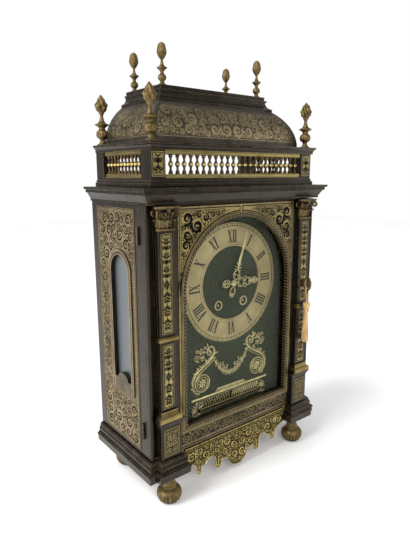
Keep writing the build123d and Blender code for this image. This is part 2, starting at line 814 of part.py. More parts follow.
# Veneers of the door: the field round the arch and the panels of both pilasters
veneers = []
with BuildPart() as door_field:
    block((-field_half_width, field_half_width), (face_y - veneer, face_y),
          (door_bottom + field_margin, door_top - field_margin))
    with BuildSketch(at_y(face_y)):
        arch(arch_frame_outer + running_gap, arch_outer_bottom - running_gap, dial_centre_z)
    extrude(amount=veneer, mode=Mode.SUBTRACT)
veneers += door_field.part.solids()
shaft_panel_half = pilaster_half - panel_margin
pedestal_panel_half = (pedestal_outer - pedestal_inner) / 2 - panel_margin
pedestal_centre = (pedestal_outer + pedestal_inner) / 2
band_top = band_bottom + band_height
shaft_bottom = pedestal_top + pilaster_base_height
pedestal_cap_bottom = pedestal_top - pilaster_cap_height
panels = ((pilaster_centre, shaft_panel_half, pilaster_y, shaft_bottom + panel_margin, band_bottom - panel_margin),
          (pilaster_centre, shaft_panel_half, pilaster_y, band_top + panel_margin, shaft_top - panel_margin),
          (pedestal_centre, pedestal_panel_half, break_y, door_bottom + panel_margin,
           pedestal_cap_bottom - panel_margin))
for hand in (-1, 1):
    for centre_x, half, near, low_z, high_z in panels:
        with BuildPart() as panel:
            block((hand * centre_x - half, hand * centre_x + half), (near - panel_relief, near), (low_z, high_z))
            if hand > 0 and low_z < keyhole_z < high_z:
                rod(key_x, keyhole_z, near - panel_relief, near, lock_cavity / 2 + 1.5, Mode.SUBTRACT)
        veneers.append(panel.part)
save(group(veneers), "door_marquetry")


def wrap(half, front):
    """Path round the left side, the front and the right side of a pilaster, clockwise from the door."""
    return [(-half, face_y), (-half, front), (half, front), (half, face_y)]


def cap_outline():
    swell = pilaster_cap_swell
    step = pedestal_cap_bottom + 0.6 * pilaster_cap_height
    Polyline((0, pedestal_top), (0, pedestal_cap_bottom), (0.9, pedestal_cap_bottom), (0.9, pedestal_cap_bottom + 1.2))
    ThreePointArc((0.9, pedestal_cap_bottom + 1.2), (0.45 * swell, step - 1.6), (0.75 * swell, step))
    Polyline((0.75 * swell, step), (swell, step + 0.5), (swell, pedestal_top), (0, pedestal_top))


# Pilasters, each a shaft on a capped pedestal
pilaster_parts = []
for hand in (-1, 1):
    half_pedestal = (pedestal_outer - pedestal_inner) / 2
    middle = hand * pedestal_centre
    with BuildPart() as pilaster:
        block((middle - half_pedestal, middle + half_pedestal), (break_y, face_y), (door_bottom, pedestal_top))
        add(Pos(middle, 0, 0) * moulding(wrap(half_pedestal, break_y), cap_outline))
        block((hand * pilaster_centre - pilaster_half, hand * pilaster_centre + pilaster_half),
              (pilaster_y, face_y), (pedestal_top, shaft_top))
        if hand > 0:
            rod(key_x, keyhole_z, pilaster_y, face_y, shank_radius + shank_gap, Mode.SUBTRACT)
            block((key_x - shank_radius + shank_gap, key_x + shank_radius - shank_gap), (pilaster_y, face_y),
                  (keyhole_z - lock_cavity + 1, keyhole_z), Mode.SUBTRACT)
    pilaster_parts.append(pilaster.part)
save(group(pilaster_parts), "pilasters")

# Gilt capitals, flaring from the shaft to a square top
capitals = []
for hand in (-1, 1):
    with BuildPart() as capital:
        for height, half, proud in ((0, pilaster_half + 0.5, pilaster_proud + 1),
                                    (0.82 * capital_height, capital_top_width / 2, capital_proud)):
            with BuildSketch(Plane.XY.offset(shaft_top + height)):
                with Locations((hand * pilaster_centre, face_y - proud / 2)):
                    Rectangle(2 * half, proud)
        loft(ruled=True)
        block((hand * pilaster_centre - capital_top_width / 2, hand * pilaster_centre + capital_top_width / 2),
              (face_y - capital_proud, face_y), (shaft_top + 0.82 * capital_height, door_top))
    capitals.append(capital.part)
save(group(capitals), "capitals")


def band_outline():
    Line((0, band_top), (0, band_bottom))
    ThreePointArc((0, band_bottom), (band_swell, (band_bottom + band_top) / 2), (0, band_top))


def shaft_base_outline():
    swell = pilaster_base_swell
    height = pilaster_base_height
    Polyline((0, shaft_bottom), (0, pedestal_top), (swell, pedestal_top), (swell, pedestal_top + 0.42 * height),
             (0.82 * swell, pedestal_top + 0.5 * height))
    ThreePointArc((0.82 * swell, pedestal_top + 0.5 * height), (0.42 * swell, pedestal_top + 0.64 * height),
                  (0.2 * swell, pedestal_top + 0.88 * height))
    Polyline((0.2 * swell, pedestal_top + 0.88 * height), (0.36 * swell, pedestal_top + 0.9 * height),
             (0.36 * swell, shaft_bottom), (0, shaft_bottom))


# Brass bands and bases of the pilasters, and the keyhole escutcheon
mounts = []
for hand in (-1, 1):
    for outline in (band_outline, shaft_base_outline):
        mounts.append(Pos(hand * pilaster_centre, 0, 0) * moulding(wrap(pilaster_half, pilaster_y), outline))
with BuildPart() as escutcheon:
    rod(key_x, keyhole_z, pilaster_y - veneer, pilaster_y, lock_cavity / 2 + 1)
    rod(key_x, keyhole_z, pilaster_y - veneer, pilaster_y, shank_radius + shank_gap, Mode.SUBTRACT)
    block((key_x - shank_radius + shank_gap, key_x + shank_radius - shank_gap),
          (pilaster_y - veneer, pilaster_y), (keyhole_z - lock_cavity, keyhole_z), Mode.SUBTRACT)
mounts.append(escutcheon.part)
save(group(mounts), "pilaster_mounts")

# Lock on the back of the door: a case with the key's round chamber and the bolt's channel
bolt_y0 = door_back_y + (lock_depth - bolt_depth) / 2
bolt_y1 = bolt_y0 + bolt_depth
lock_back = door_back_y + lock_depth
plate = 1.2
with BuildPart() as door_lock:
    block((lock_x0, lock_x1), (door_back_y, lock_back), (lock_low_z, lock_low_z + lock_height))
    rod(key_x, keyhole_z, door_back_y + plate, lock_back - plate, lock_cavity, Mode.SUBTRACT)
    rod(key_x, keyhole_z, door_back_y, door_back_y + plate, shank_radius + shank_gap, Mode.SUBTRACT)
    block((key_x - shank_radius + shank_gap, key_x + shank_radius - shank_gap),
          (door_back_y, door_back_y + plate), (keyhole_z - lock_cavity + 1, keyhole_z), Mode.SUBTRACT)
    block((lock_x0 + plate, lock_x1), (bolt_y0 - flat_gap, bolt_y1 + flat_gap),
          (bolt_low - flat_gap, bolt_low + bolt_height + flat_gap), Mode.SUBTRACT)
save(door_lock.part, "door_lock")

# Lock bolt, drawn back in its channel
with BuildPart() as lock_bolt:
    block((lock_x0 + plate + flat_gap, lock_x1), (bolt_y0, bolt_y1), (bolt_low, bolt_low + bolt_height))
save(lock_bolt.part, "lock_bolt")


def front_hinge(z0, carried):
    """One leaf of a front hinge: the door's has the middle knuckle, the case's has both ends and the pin."""
    third = hinge_length / 3
    leaf_y = (door_back_y - hinge_leaf, door_back_y) if carried else (case_front_y, case_front_y + hinge_leaf)
    spans = ((third + flat_gap, 2 * third - flat_gap),) if carried else ((0, third), (2 * third, hinge_length))
    with BuildPart() as leaf:
        block((-half_width + flat_gap, -half_width + hinge_leaf_width), leaf_y, (z0, z0 + hinge_length))
        for low_z, high_z in spans:
            post(hinge_x, hinge_y, z0 + low_z, z0 + high_z, knuckle_radius)
            block((hinge_x, -half_width + flat_gap), leaf_y, (z0 + low_z, z0 + high_z))
        if carried:
            post(hinge_x, hinge_y, z0, z0 + hinge_length, hinge_pin_radius + running_gap, Mode.SUBTRACT)
        else:
            post(hinge_x, hinge_y, z0 + third / 2, z0 + hinge_length - third / 2, hinge_pin_radius)
    return leaf.part


back_door_half = back_opening_half - flat_gap
back_hinge_x = -back_opening_half
back_hinge_y = back_y + back_knuckle_radius


def back_hinge(z0, carried):
    """One leaf of a back hinge, on the outer face of the back door or of the back panel."""
    third = hinge_length / 3
    side = 1 if carried else -1
    spans = ((third + flat_gap, 2 * third - flat_gap),) if carried else ((0, third), (2 * third, hinge_length))
    near_x = back_hinge_x + side * (back_knuckle_radius + flat_gap)
    with BuildPart() as leaf:
        block((near_x, near_x + side * hinge_leaf_width), (back_y, back_y + hinge_leaf), (z0, z0 + hinge_length))
        for low_z, high_z in spans:
            post(back_hinge_x, back_hinge_y, z0 + low_z, z0 + high_z, back_knuckle_radius)
            block((back_hinge_x, near_x), (back_y + flat_gap, back_y + hinge_leaf), (z0 + low_z, z0 + high_z))
        if carried:
            post(back_hinge_x, back_hinge_y, z0, z0 + hinge_length, hinge_pin_radius + running_gap, Mode.SUBTRACT)
        else:
            post(back_hinge_x, back_hinge_y, z0 + third / 2, z0 + hinge_length - third / 2, hinge_pin_radius)
    return leaf.part


back_hinge_heights = (back_opening_bottom + 2 * hinge_length, back_opening_top - 3 * hinge_length)
save(group([front_hinge(z, True) for z in (lower_hinge_z, upper_hinge_z)]), "door_hinges")
save(group([front_hinge(z, False) for z in (lower_hinge_z, upper_hinge_z)]
           + [back_hinge(z, False) for z in back_hinge_heights]), "case_hinges")

# Key with an oval bow in an upright plane, its bit hanging down in the lock
bow_y = face_y - bow_centre_reach
stem_back = lock_back - plate - flat_gap
with BuildPart() as key:
    with BuildSketch(at_x(key_x - bow_bar_radius)):
        with Locations((bow_y, keyhole_z)):
            Ellipse(bow_width / 2, bow_height / 2)
            Ellipse(bow_width / 2 - 2 * bow_bar_radius, bow_height / 2 - 2 * bow_bar_radius, mode=Mode.SUBTRACT)
    extrude(amount=2 * bow_bar_radius)
    rod(key_x, keyhole_z, bow_y + bow_width / 2 - bow_bar_radius, stem_back, shank_radius)
    rod(key_x, keyhole_z, bow_y + bow_width / 2 - 0.5, bow_y + bow_width / 2 + 1.3, shank_radius + 1)
    block((key_x - 1, key_x + 1), (bolt_y0, bolt_y1), (keyhole_z - lock_cavity + 2, keyhole_z))
save(key.part, "key")

# Cord looped through the bow, and the silk tassel on it
hang_z = keyhole_z - bow_height / 2 + bow_bar_radius
loop_half = bow_bar_radius * math.sqrt(2) + cord_gap + cord_radius
loop_top = hang_z + loop_half
tassel_top = hang_z - cord_drop
head_half = 1.1
side_points = [(head_half, tassel_top - 0.4), (head_half + 0.15, tassel_top + 7.5),
               (loop_half * 0.75, tassel_top + 14.5), (loop_half, hang_z - 1.5), (loop_half, loop_top)]
cord_route = side_points + [(-x, z) for x, z in reversed(side_points)]
cord_points = [Vector(key_x + x, bow_y, z) for x, z in cord_route]
bend_radii = []
for before, corner, after in zip(cord_points, cord_points[1:], cord_points[2:]):
    turn = math.radians((corner - before).get_angle(after - corner))
    run = min((corner - before).length, (after - corner).length)
    bend_radii.append(0.45 * run / math.tan(turn / 2))
print("cord bend radii", [round(r, 1) for r in bend_radii])
with BuildPart() as tassel_cord:
    with BuildLine() as cord_line:
        FilletPolyline(*cord_points, radius=bend_radii)
    with BuildSketch(Plane(origin=cord_line.line @ 0, z_dir=cord_line.line % 0)):
        Circle(cord_radius)
    sweep()
cord_length = sum(edge.length for edge in cord_line.edges())
print("cord length", round(cord_length, 2),
      "volume ratio", round(tassel_cord.part.volume / (math.pi * cord_radius ** 2 * cord_length), 4))
save(tassel_cord.part, "tassel_cord")

tassel_profile = [(0, 0), (0.3, 0), (0.62, -0.02), (0.71, -0.06), (0.71, -0.11), (0.5, -0.155), (0.42, -0.175),
                  (0.5, -0.2), (0.66, -0.28), (0.8, -0.45), (0.93, -0.75), (1.0, -0.95), (0.97, -1.0), (0, -1.0)]
tassel = turned([(r * tassel_skirt_radius, tassel_top + t * tassel_length) for r, t in tassel_profile])
save(Pos(key_x, bow_y, 0) * tassel, "tassel")

# Back door and its turning catch
with BuildPart() as back_door:
    block((-back_door_half, back_door_half), (back_y - back_thickness, back_y),
          (back_opening_bottom + flat_gap, back_opening_top - flat_gap))
    catch_x = back_opening_half - back_knob_inset
    catch_z = (back_opening_bottom + back_opening_top) / 2
    rod(catch_x, catch_z, back_y - back_thickness, back_y, shank_radius + running_gap, Mode.SUBTRACT)
save(group([back_door.part] + [back_hinge(z, True) for z in back_hinge_heights]), "back_door")

with BuildPart() as back_catch:
    rod(catch_x, catch_z, back_y - back_thickness - 2, back_y + 2, shank_radius)
    rod(catch_x, catch_z, back_y + flat_gap, back_y + back_knob_reach, 3.5)
    rod(catch_x, catch_z, back_y + 0.5 * back_knob_reach, back_y + back_knob_reach, 7)
    block((catch_x - 4, catch_x + 4), (back_y - back_thickness - 2, back_y - back_thickness - flat_gap),
          (catch_z - back_tongue_length, catch_z + 4))
save(back_catch.part, "back_door_catch")


def toothed(teeth, module, y0, y1, x, z, leaf=False, phase=0.0):
    """Wheel or pinion body between two places along the depth; phase turns it by a share of a tooth."""
    pitch = module * teeth / 2
    tip = pitch + (0.75 if leaf else 0.85) * module
    root = pitch - (1.25 if leaf else 1.1) * module
    step = 2 * math.pi / teeth
    shares = ((root, -0.2), (pitch, -0.19), (tip, -0.06), (tip, 0.06), (pitch, 0.19), (root, 0.2))
    points = []
    for i in range(teeth):
        for radius, share in shares:
            angle = (i + share + phase) * step
            points.append((x + radius * math.sin(angle), z + radius * math.cos(angle)))
    with BuildPart() as body:
        with BuildSketch(at_y(y1)):
            with BuildLine():
                Polyline(*points, close=True)
            make_face()
        extrude(amount=y1 - y0)
    return body.part


def meshed_phase(teeth, x, z, other_teeth, other_x, other_z, other_phase):
    """Phase that puts a gap of this wheel on the line of centres where the other has a tooth."""
    towards_other = math.atan2(other_x - x, other_z - z)
    towards_this = math.atan2(x - other_x, z - other_z)
    other_share = towards_this * other_teeth / (2 * math.pi) - other_phase
    share = towards_other * teeth / (2 * math.pi)
    return share + other_share + 0.5


def meeting(x0, z0, r0, x1, z1, r1, side):
    """Point at given distances from two others, on the chosen side of the line between them."""
    dx, dz = x1 - x0, z1 - z0
    gap = math.hypot(dx, dz)
    along = (gap ** 2 + r0 ** 2 - r1 ** 2) / (2 * gap)
    aside = side * math.sqrt(r0 ** 2 - along ** 2)
    return x0 + (along * dx - aside * dz) / gap, z0 + (along * dz + aside * dx) / gap


def crossed_wheel(body, x, z, y0, y1, radius, arms):
    """Wheel body with its disc cut away between rim and hub to leave arms."""
    rim = 0.8 * radius
    hub = 0.28 * radius
    with BuildPart() as openings:
        with BuildSketch(at_y(y1)):
            with Locations((x, z)):
                Circle(rim)
                Circle(hub, mode=Mode.SUBTRACT)
                with PolarLocations(0, arms):
                    with Locations((rim / 2, 0)):
                        Rectangle(rim + 1, 0.16 * radius, mode=Mode.SUBTRACT)
        extrude(amount=y1 - y0)
    return body - openings.part


# Arbor places
barrel_pitch = barrel_module * (barrel_teeth + intermediate_pinion) / 2
intermediate_pitch = intermediate_module * (intermediate_teeth + centre_pinion) / 2
centre_pitch = centre_module * (centre_teeth + third_pinion) / 2
third_pitch = third_module * (third_teeth + escape_pinion) / 2
cannon_pitch = cannon_module * (cannon_teeth + minute_teeth) / 2
inter_x, inter_z = meeting(winding_x, winding_z, barrel_pitch, 0, dial_centre_z, intermediate_pitch, -1)
third_x, third_z = meeting(0, dial_centre_z, centre_pitch, 0, escape_z, third_pitch, 1)
minute_x, minute_z = cannon_pitch * math.cos(math.radians(60)), dial_centre_z + cannon_pitch * math.sin(math.radians(60))

# Places along the depth inside the movement
great_y = plate1_back + 4.2
centre_wheel_y = plate1_back + 12
third_wheel_y = plate1_back + 18
escape_wheel_y = plate1_back + 24
inter_wheel_y = plate2_y - 7
arbors = ((0, dial_centre_z), (inter_x, inter_z), (third_x, third_z), (0, escape_z), (0, anchor_z),
          (-hammer_offset, plate_top - hammer_drop))


def movement_plate(y0, y1):
    """Brass plate with pivot holes and the two winding arbor holes, in the part being built."""
    block((-plate_half_width, plate_half_width), (y0, y1), (plate_bottom, plate_top))
    for x, z in arbors:
        hole = arbor_radius if (x, z) == (0, dial_centre_z) else pivot_radius
        rod(x, z, y0, y1, hole + running_gap, Mode.SUBTRACT)
    for hand in (-1, 1):
        rod(hand * winding_x, winding_z, y0, y1, winding_arbor_radius + running_gap, Mode.SUBTRACT)


corners = [(x, z) for x in (-plate_half_width + pillar_inset, plate_half_width - pillar_inset)
           for z in (plate_bottom + pillar_inset, plate_top - pillar_inset)]

# Front plate with its dial feet and the stud of the minute wheel
with BuildPart() as front_plate:
    movement_plate(plate1_y, plate1_back)
    for x, z in corners:
        rod(x, z, board_back_y, plate1_y, dial_foot_radius)
    rod(minute_x, minute_z, board_back_y + 1.2, plate1_y, pivot_radius)
save(front_plate.part, "front_plate")

# Back plate with the four pillars riveted into it
with BuildPart() as back_plate:
    movement_plate(plate2_y, plate2_back)
    for x, z in corners:
        rod(x, z, plate1_back, plate2_y, pillar_radius)
save(back_plate.part, "back_plate")


def arbor(x, z, thick0, thick1):
    """Steel arbor with thinner pivots in both plates, in the part being built."""
    rod(x, z, plate1_y, plate2_back, pivot_radius)
    rod(x, z, thick0, thick1, arbor_radius)


# Barrels with their great wheels, and the winding arbors through them
great_phase = 0.0
barrels = {}
for hand, barrel_name in ((1, "going_barrel"), (-1, "strike_barrel")):
    x = hand * winding_x
    wheel = toothed(barrel_teeth, barrel_module, great_y, great_y + 2 * wheel_thickness, x, winding_z)
    with BuildPart() as barrel:
        add(wheel)
        rod(x, winding_z, great_y + 2 * wheel_thickness, great_y + 2 * wheel_thickness + barrel_length, barrel_radius)
        rod(x, winding_z, great_y, great_y + 2 * wheel_thickness + barrel_length,
            winding_arbor_radius + running_gap, Mode.SUBTRACT)
    save(barrel.part, barrel_name)
for hand, arbor_name in ((1, "going_arbor"), (-1, "strike_arbor")):
    x = hand * winding_x
    with BuildPart() as winding_arbor:
        rod(x, winding_z, plate1_y - 2, plate2_back + 1, winding_arbor_radius)
        block((x - winding_square / 2, x + winding_square / 2), (board_y - 0.5, plate1_y - 2),
              (winding_z - winding_square / 2, winding_z + winding_square / 2))
    save(winding_arbor.part, arbor_name)

# Intermediate wheel, driven by the going barrel
inter_pinion_phase = meshed_phase(intermediate_pinion, inter_x, inter_z, barrel_teeth, winding_x, winding_z,
                                  great_phase)
inter_wheel = toothed(intermediate_teeth, intermediate_module, inter_wheel_y, inter_wheel_y + wheel_thickness,
                      inter_x, inter_z)
inter_wheel = crossed_wheel(inter_wheel, inter_x, inter_z, inter_wheel_y, inter_wheel_y + wheel_thickness,
                            intermediate_module * intermediate_teeth / 2, 4)
inter_leaves = toothed(intermediate_pinion, barrel_module, great_y - 1, great_y + 2 * wheel_thickness + 1,
                       inter_x, inter_z, True, inter_pinion_phase)
with BuildPart() as intermediate_wheel:
    arbor(inter_x, inter_z, plate1_back + 1, plate2_y - 1)
    add(inter_wheel)
    add(inter_leaves)
save(intermediate_wheel.part, "intermediate_wheel")

# Centre wheel on the arbor that carries the minute hand
centre_pinion_phase = meshed_phase(centre_pinion, 0, dial_centre_z, intermediate_teeth, inter_x, inter_z, 0.0)
centre_disc = toothed(centre_teeth, centre_module, centre_wheel_y, centre_wheel_y + wheel_thickness, 0, dial_centre_z)
centre_disc = crossed_wheel(centre_disc, 0, dial_centre_z, centre_wheel_y, centre_wheel_y + wheel_thickness,
                            centre_module * centre_teeth / 2, 4)
centre_leaves = toothed(centre_pinion, intermediate_module, inter_wheel_y - 1, inter_wheel_y + wheel_thickness + 1,
                        0, dial_centre_z, True, centre_pinion_phase)
cannon_y0 = plate1_y - 3.2
cannon_leaves = toothed(cannon_teeth, cannon_module, cannon_y0, plate1_y - 0.7, 0, dial_centre_z, True)
with BuildPart() as centre_wheel:
    rod(0, dial_centre_z, plate1_back + 1, plate2_y - 1, arbor_radius)
    rod(0, dial_centre_z, minute_y - 1, plate2_back, arbor_radius)
    rod(0, dial_centre_z, minute_y, cannon_y0, cannon_radius)
    add(centre_disc)
    add(centre_leaves)
    add(cannon_leaves)
save(centre_wheel.part, "centre_wheel")

# Third wheel
third_leaf_phase = meshed_phase(third_pinion, third_x, third_z, centre_teeth, 0, dial_centre_z, 0.0)
third_disc = toothed(third_teeth, third_module, third_wheel_y, third_wheel_y + wheel_thickness, third_x, third_z)
third_disc = crossed_wheel(third_disc, third_x, third_z, third_wheel_y, third_wheel_y + wheel_thickness,
                           third_module * third_teeth / 2, 4)
third_leaves = toothed(third_pinion, centre_module, centre_wheel_y - 1, centre_wheel_y + wheel_thickness + 1,
                       third_x, third_z, True, third_leaf_phase)
with BuildPart() as third_wheel:
    rod(third_x, third_z, plate1_y, plate2_back, pivot_radius)
    add(third_disc)
    add(third_leaves)
save(third_wheel.part, "third_wheel")

# Escape wheel with pointed teeth
escape_leaf_phase = meshed_phase(escape_pinion, 0, escape_z, third_teeth, third_x, third_z, 0.0)
escape_points = []
for i in range(escape_teeth):
    for radius, share in ((escape_radius - 2.6, 0.0), (escape_radius, 0.42), (escape_radius, 0.5),
                          (escape_radius - 2.6, 0.62)):
        angle = 2 * math.pi * (i + share) / escape_teeth
        escape_points.append((radius * math.sin(angle), escape_z + radius * math.cos(angle)))
with BuildPart() as escape_disc:
    with BuildSketch(at_y(escape_wheel_y + wheel_thickness)):
        with BuildLine():
            Polyline(*escape_points, close=True)
        make_face()
    extrude(amount=wheel_thickness)
escape_crossed = crossed_wheel(escape_disc.part, 0, escape_z, escape_wheel_y, escape_wheel_y + wheel_thickness,
                               escape_radius - 2, 4)
escape_leaves = toothed(escape_pinion, third_module, third_wheel_y - 1, third_wheel_y + wheel_thickness + 1,
                        0, escape_z, True, escape_leaf_phase)
with BuildPart() as escape_wheel:
    rod(0, escape_z, plate1_y, plate2_back, pivot_radius)
    add(escape_crossed)
    add(escape_leaves)
save(escape_wheel.part, "escape_wheel")

# Pallet anchor, its arbor and the crutch behind the back plate
pallet_gap = 0.95
crutch_y = plate2_back + 3
crutch_length = 46.0
with BuildPart() as pallet_anchor:
    rod(0, anchor_z, plate1_y, crutch_y, pivot_radius)
    rod(0, anchor_z, plate1_back + 1, plate2_y - 1, arbor_radius)
    rod(0, anchor_z, escape_wheel_y - 1, escape_wheel_y + wheel_thickness + 1, 3)
    with BuildSketch(at_y(escape_wheel_y + wheel_thickness)):
        with Locations((0, anchor_z)):
            Trapezoid(30, 5, 60)
        for hand in (-1, 1):
            with Locations((hand * 12.6, anchor_z - 6)):
                Rectangle(3.2, 9)
        with Locations((0, escape_z)):
            Circle(escape_radius + pallet_gap, mode=Mode.SUBTRACT)
    extrude(amount=wheel_thickness)
    rod(0, anchor_z, crutch_y - 2, crutch_y, 3)
    block((-1.2, 1.2), (crutch_y - 2, crutch_y - 0.5), (anchor_z - crutch_length, anchor_z))
    block((-3.2, 3.2), (crutch_y - 2, crutch_y - 0.5), (anchor_z - crutch_length - 4, anchor_z - crutch_length))
    for hand in (-1, 1):
        block((hand * (rod_radius + flat_gap), hand * 3.2), (crutch_y - 2, pendulum_y + 3),
              (anchor_z - crutch_length - 4, anchor_z - crutch_length))
save(pallet_anchor.part, "pallet_anchor")

# Cock that carries the pendulum's suspension pin, screwed to the back plate
cheek_gap = 0.8
with BuildPart() as suspension_cock:
    block((-8, 8), (plate2_back, plate2_back + 2.5), (anchor_z + 3.6, plate_top))
    block((-3.5, 3.5), (plate2_back, pendulum_y + 4), (anchor_z + 4.6, plate_top - 1))
    for near, far in ((pendulum_y - 4, pendulum_y - cheek_gap), (pendulum_y + cheek_gap, pendulum_y + 4)):
        block((-3.5, 3.5), (near, far), (anchor_z - 3, anchor_z + 5))
    rod(0, anchor_z, pendulum_y - 4, pendulum_y + 4, pivot_radius - 0.2)
save(suspension_cock.part, "suspension_cock")

# Pendulum rod with its eye and the rating nut under the bob
rod_bottom = bob_z - bob_radius - 7
with BuildPart() as pendulum:
    rod(0, anchor_z, pendulum_y - 0.5, pendulum_y + 0.5, 2.6)
    post(0, pendulum_y, rod_bottom, anchor_z - 4, rod_radius)
    block((-rod_radius, rod_radius), (pendulum_y - 0.5, pendulum_y + 0.5), (anchor_z - 5, anchor_z - 1))
    rod(0, anchor_z, pendulum_y - 0.5, pendulum_y + 0.5, pivot_radius - 0.2 + running_gap, Mode.SUBTRACT)
with BuildPart() as rating_nut:
    post(0, pendulum_y, rod_bottom + 2, bob_z - bob_radius - flat_gap, 5)
    post(0, pendulum_y, rod_bottom + 2, bob_z - bob_radius - flat_gap, rod_radius + running_gap, Mode.SUBTRACT)
save(group([pendulum.part, rating_nut.part]), "pendulum_rod")

# Lens-shaped bob
with BuildPart() as bob:
    with BuildSketch(Plane.XY):
        with BuildLine():
            ThreePointArc((bob_radius - 0.6, 1), (0.6 * bob_radius, 0.38 * bob_thickness), (0, bob_thickness / 2))
            Polyline((0, bob_thickness / 2), (0, -bob_thickness / 2))
            ThreePointArc((0, -bob_thickness / 2), (0.6 * bob_radius, -0.38 * bob_thickness), (bob_radius - 0.6, -1))
            ThreePointArc((bob_radius - 0.6, -1), (bob_radius, 0), (bob_radius - 0.6, 1))
        make_face()
    revolve(axis=Axis.Y)
bob_part = Pos(0, pendulum_y, bob_z) * bob.part - Pos(0, pendulum_y, bob_z) * Cylinder(rod_radius + running_gap,
                                                                                       3 * bob_radius)
save(bob_part, "pendulum_bob")

# Motion work behind the dial: minute wheel and hour wheel
minute_phase = meshed_phase(minute_teeth, minute_x, minute_z, cannon_teeth, 0, dial_centre_z, 0.0)
minute_y0 = cannon_y0 + 0.7
hour_y0 = board_back_y + 3.2
minute_disc = toothed(minute_teeth, cannon_module, minute_y0, minute_y0 + wheel_thickness, minute_x, minute_z,
                      False, minute_phase)
minute_leaves = toothed(minute_pinion, hour_module, board_back_y + 1.8, minute_y0, minute_x, minute_z, True)
with BuildPart() as minute_wheel:
    add(minute_disc)
    add(minute_leaves)
    rod(minute_x, minute_z, board_back_y + 1.8, minute_y0 + wheel_thickness, pivot_radius + running_gap, Mode.SUBTRACT)
save(minute_wheel.part, "minute_wheel")

hour_phase = meshed_phase(hour_teeth, 0, dial_centre_z, minute_pinion, minute_x, minute_z, 0.0)
hour_disc = toothed(hour_teeth, hour_module, hour_y0, hour_y0 + wheel_thickness, 0, dial_centre_z, False, hour_phase)
with BuildPart() as hour_wheel:
    add(hour_disc)
    rod(0, dial_centre_z, hand_y - 0.6, hour_y0, hour_pipe_radius)
    rod(0, dial_centre_z, hand_y - 0.6, hour_y0 + wheel_thickness, cannon_radius + running_gap, Mode.SUBTRACT)
save(hour_wheel.part, "hour_wheel")


def hand_plane(y, degrees):
    """Plane across the dial whose local Y points along a hand, degrees clockwise from XII."""
    angle = math.radians(degrees)
    return Plane(origin=(0, y, dial_centre_z), x_dir=(math.cos(angle), 0, -math.sin(angle)), z_dir=(0, -1, 0))


# Pierced hour hand and slender minute hand, each with a scrolled tail
with BuildPart() as hour_hand:
    with BuildSketch(hand_plane(hand_y + hand_thickness, shown_hour_angle)):
        Circle(hour_pipe_radius + 2.5)
        with Locations((0, hour_hand_length / 2)):
            Rectangle(2.6, hour_hand_length)
        for place, across_size, along_size in ((0.3, 6.5, 5), (0.52, 8.5, 6.5), (0.74, 5, 5)):
            with Locations((0, place * hour_hand_length)):
                Ellipse(across_size, along_size)
                Ellipse(across_size - 2, along_size - 2, mode=Mode.SUBTRACT)
        with Locations((0, hour_hand_length / 2)):
            Rectangle(1.6, hour_hand_length - 2)
        with Locations((0, -10)):
            Ellipse(5.5, 5)
            Ellipse(3.5, 3, mode=Mode.SUBTRACT)
        Circle(hour_pipe_radius + running_gap, mode=Mode.SUBTRACT)
    extrude(amount=hand_thickness)
save(hour_hand.part, "hour_hand")

with BuildPart() as minute_hand:
    with BuildSketch(hand_plane(minute_y + hand_thickness, shown_minute_angle)):
        Circle(cannon_radius + 2.5)
        Polygon((-2.2, 0), (2.2, 0), (0.5, minute_hand_length), (-0.5, minute_hand_length), align=None)
        with Locations((0, 0.24 * minute_hand_length)):
            Ellipse(5, 6.5)
            Ellipse(3, 4.5, mode=Mode.SUBTRACT)
        with Locations((0, -12)):
            Ellipse(4.5, 7.5)
            Ellipse(2.5, 5.5, mode=Mode.SUBTRACT)
        Circle(cannon_radius + running_gap, mode=Mode.SUBTRACT)
    extrude(amount=hand_thickness)
save(minute_hand.part, "minute_hand")

# Bell over the movement on a stand from the back plate
bell_y = (plate1_back + plate2_y) / 2
bell_mouth = plate_top + bell_rise
bell_top = bell_mouth + bell_height
wall = bell_wall
outer_bell = [(1.0, 0), (0.95, 0.2), (0.9, 0.45), (0.75, 0.75), (0.4, 0.95), (0, 1.0)]
with BuildPart() as bell:
    with BuildSketch(Plane.XZ):
        with BuildLine():
            outside = [(r * bell_radius, bell_mouth + t * bell_height) for r, t in outer_bell]
            inside = [(max(x - wall, 0), z - (wall if z > bell_mouth else 0)) for x, z in outside]
            Polyline(*outside, *reversed(inside), close=True)
        make_face()
    revolve(axis=Axis.Z)
with BuildPart() as bell_stand:
    post(0, bell_y, plate_top + 3, bell_top - wall, 2.5)
    block((-5, 5), (bell_y - 4, plate2_back), (plate_top, plate_top + 3))
save(group([Pos(0, bell_y, 0) * bell.part, bell_stand.part]), "bell")

# Sprung hammer at the bell's rim, its arm cranked out past the pillar
hammer_z = plate_top - hammer_drop
head_z = bell_mouth + 3
knee_z = plate_top + 8
head_x = -(bell_radius + 1.2 + hammer_head_length / 2)
with BuildPart() as hammer:
    arbor(-hammer_offset, hammer_z, plate1_back + 1, plate2_y - 1)
    block((-hammer_offset - 1.2, -hammer_offset + 1.2), (bell_y - 1.2, bell_y + 1.2), (hammer_z, knee_z))
    block((head_x - 1.2, -hammer_offset + 1.2), (bell_y - 1.2, bell_y + 1.2), (knee_z - 2.4, knee_z))
    block((head_x - 1.2, head_x + 1.2), (bell_y - 1.2, bell_y + 1.2), (knee_z - 2.4, head_z))
    with Locations(Location((head_x, bell_y, head_z), (0, 90, 0))):
        Cylinder(hammer_head_radius, hammer_head_length)
save(hammer.part, "hammer")
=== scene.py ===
import math

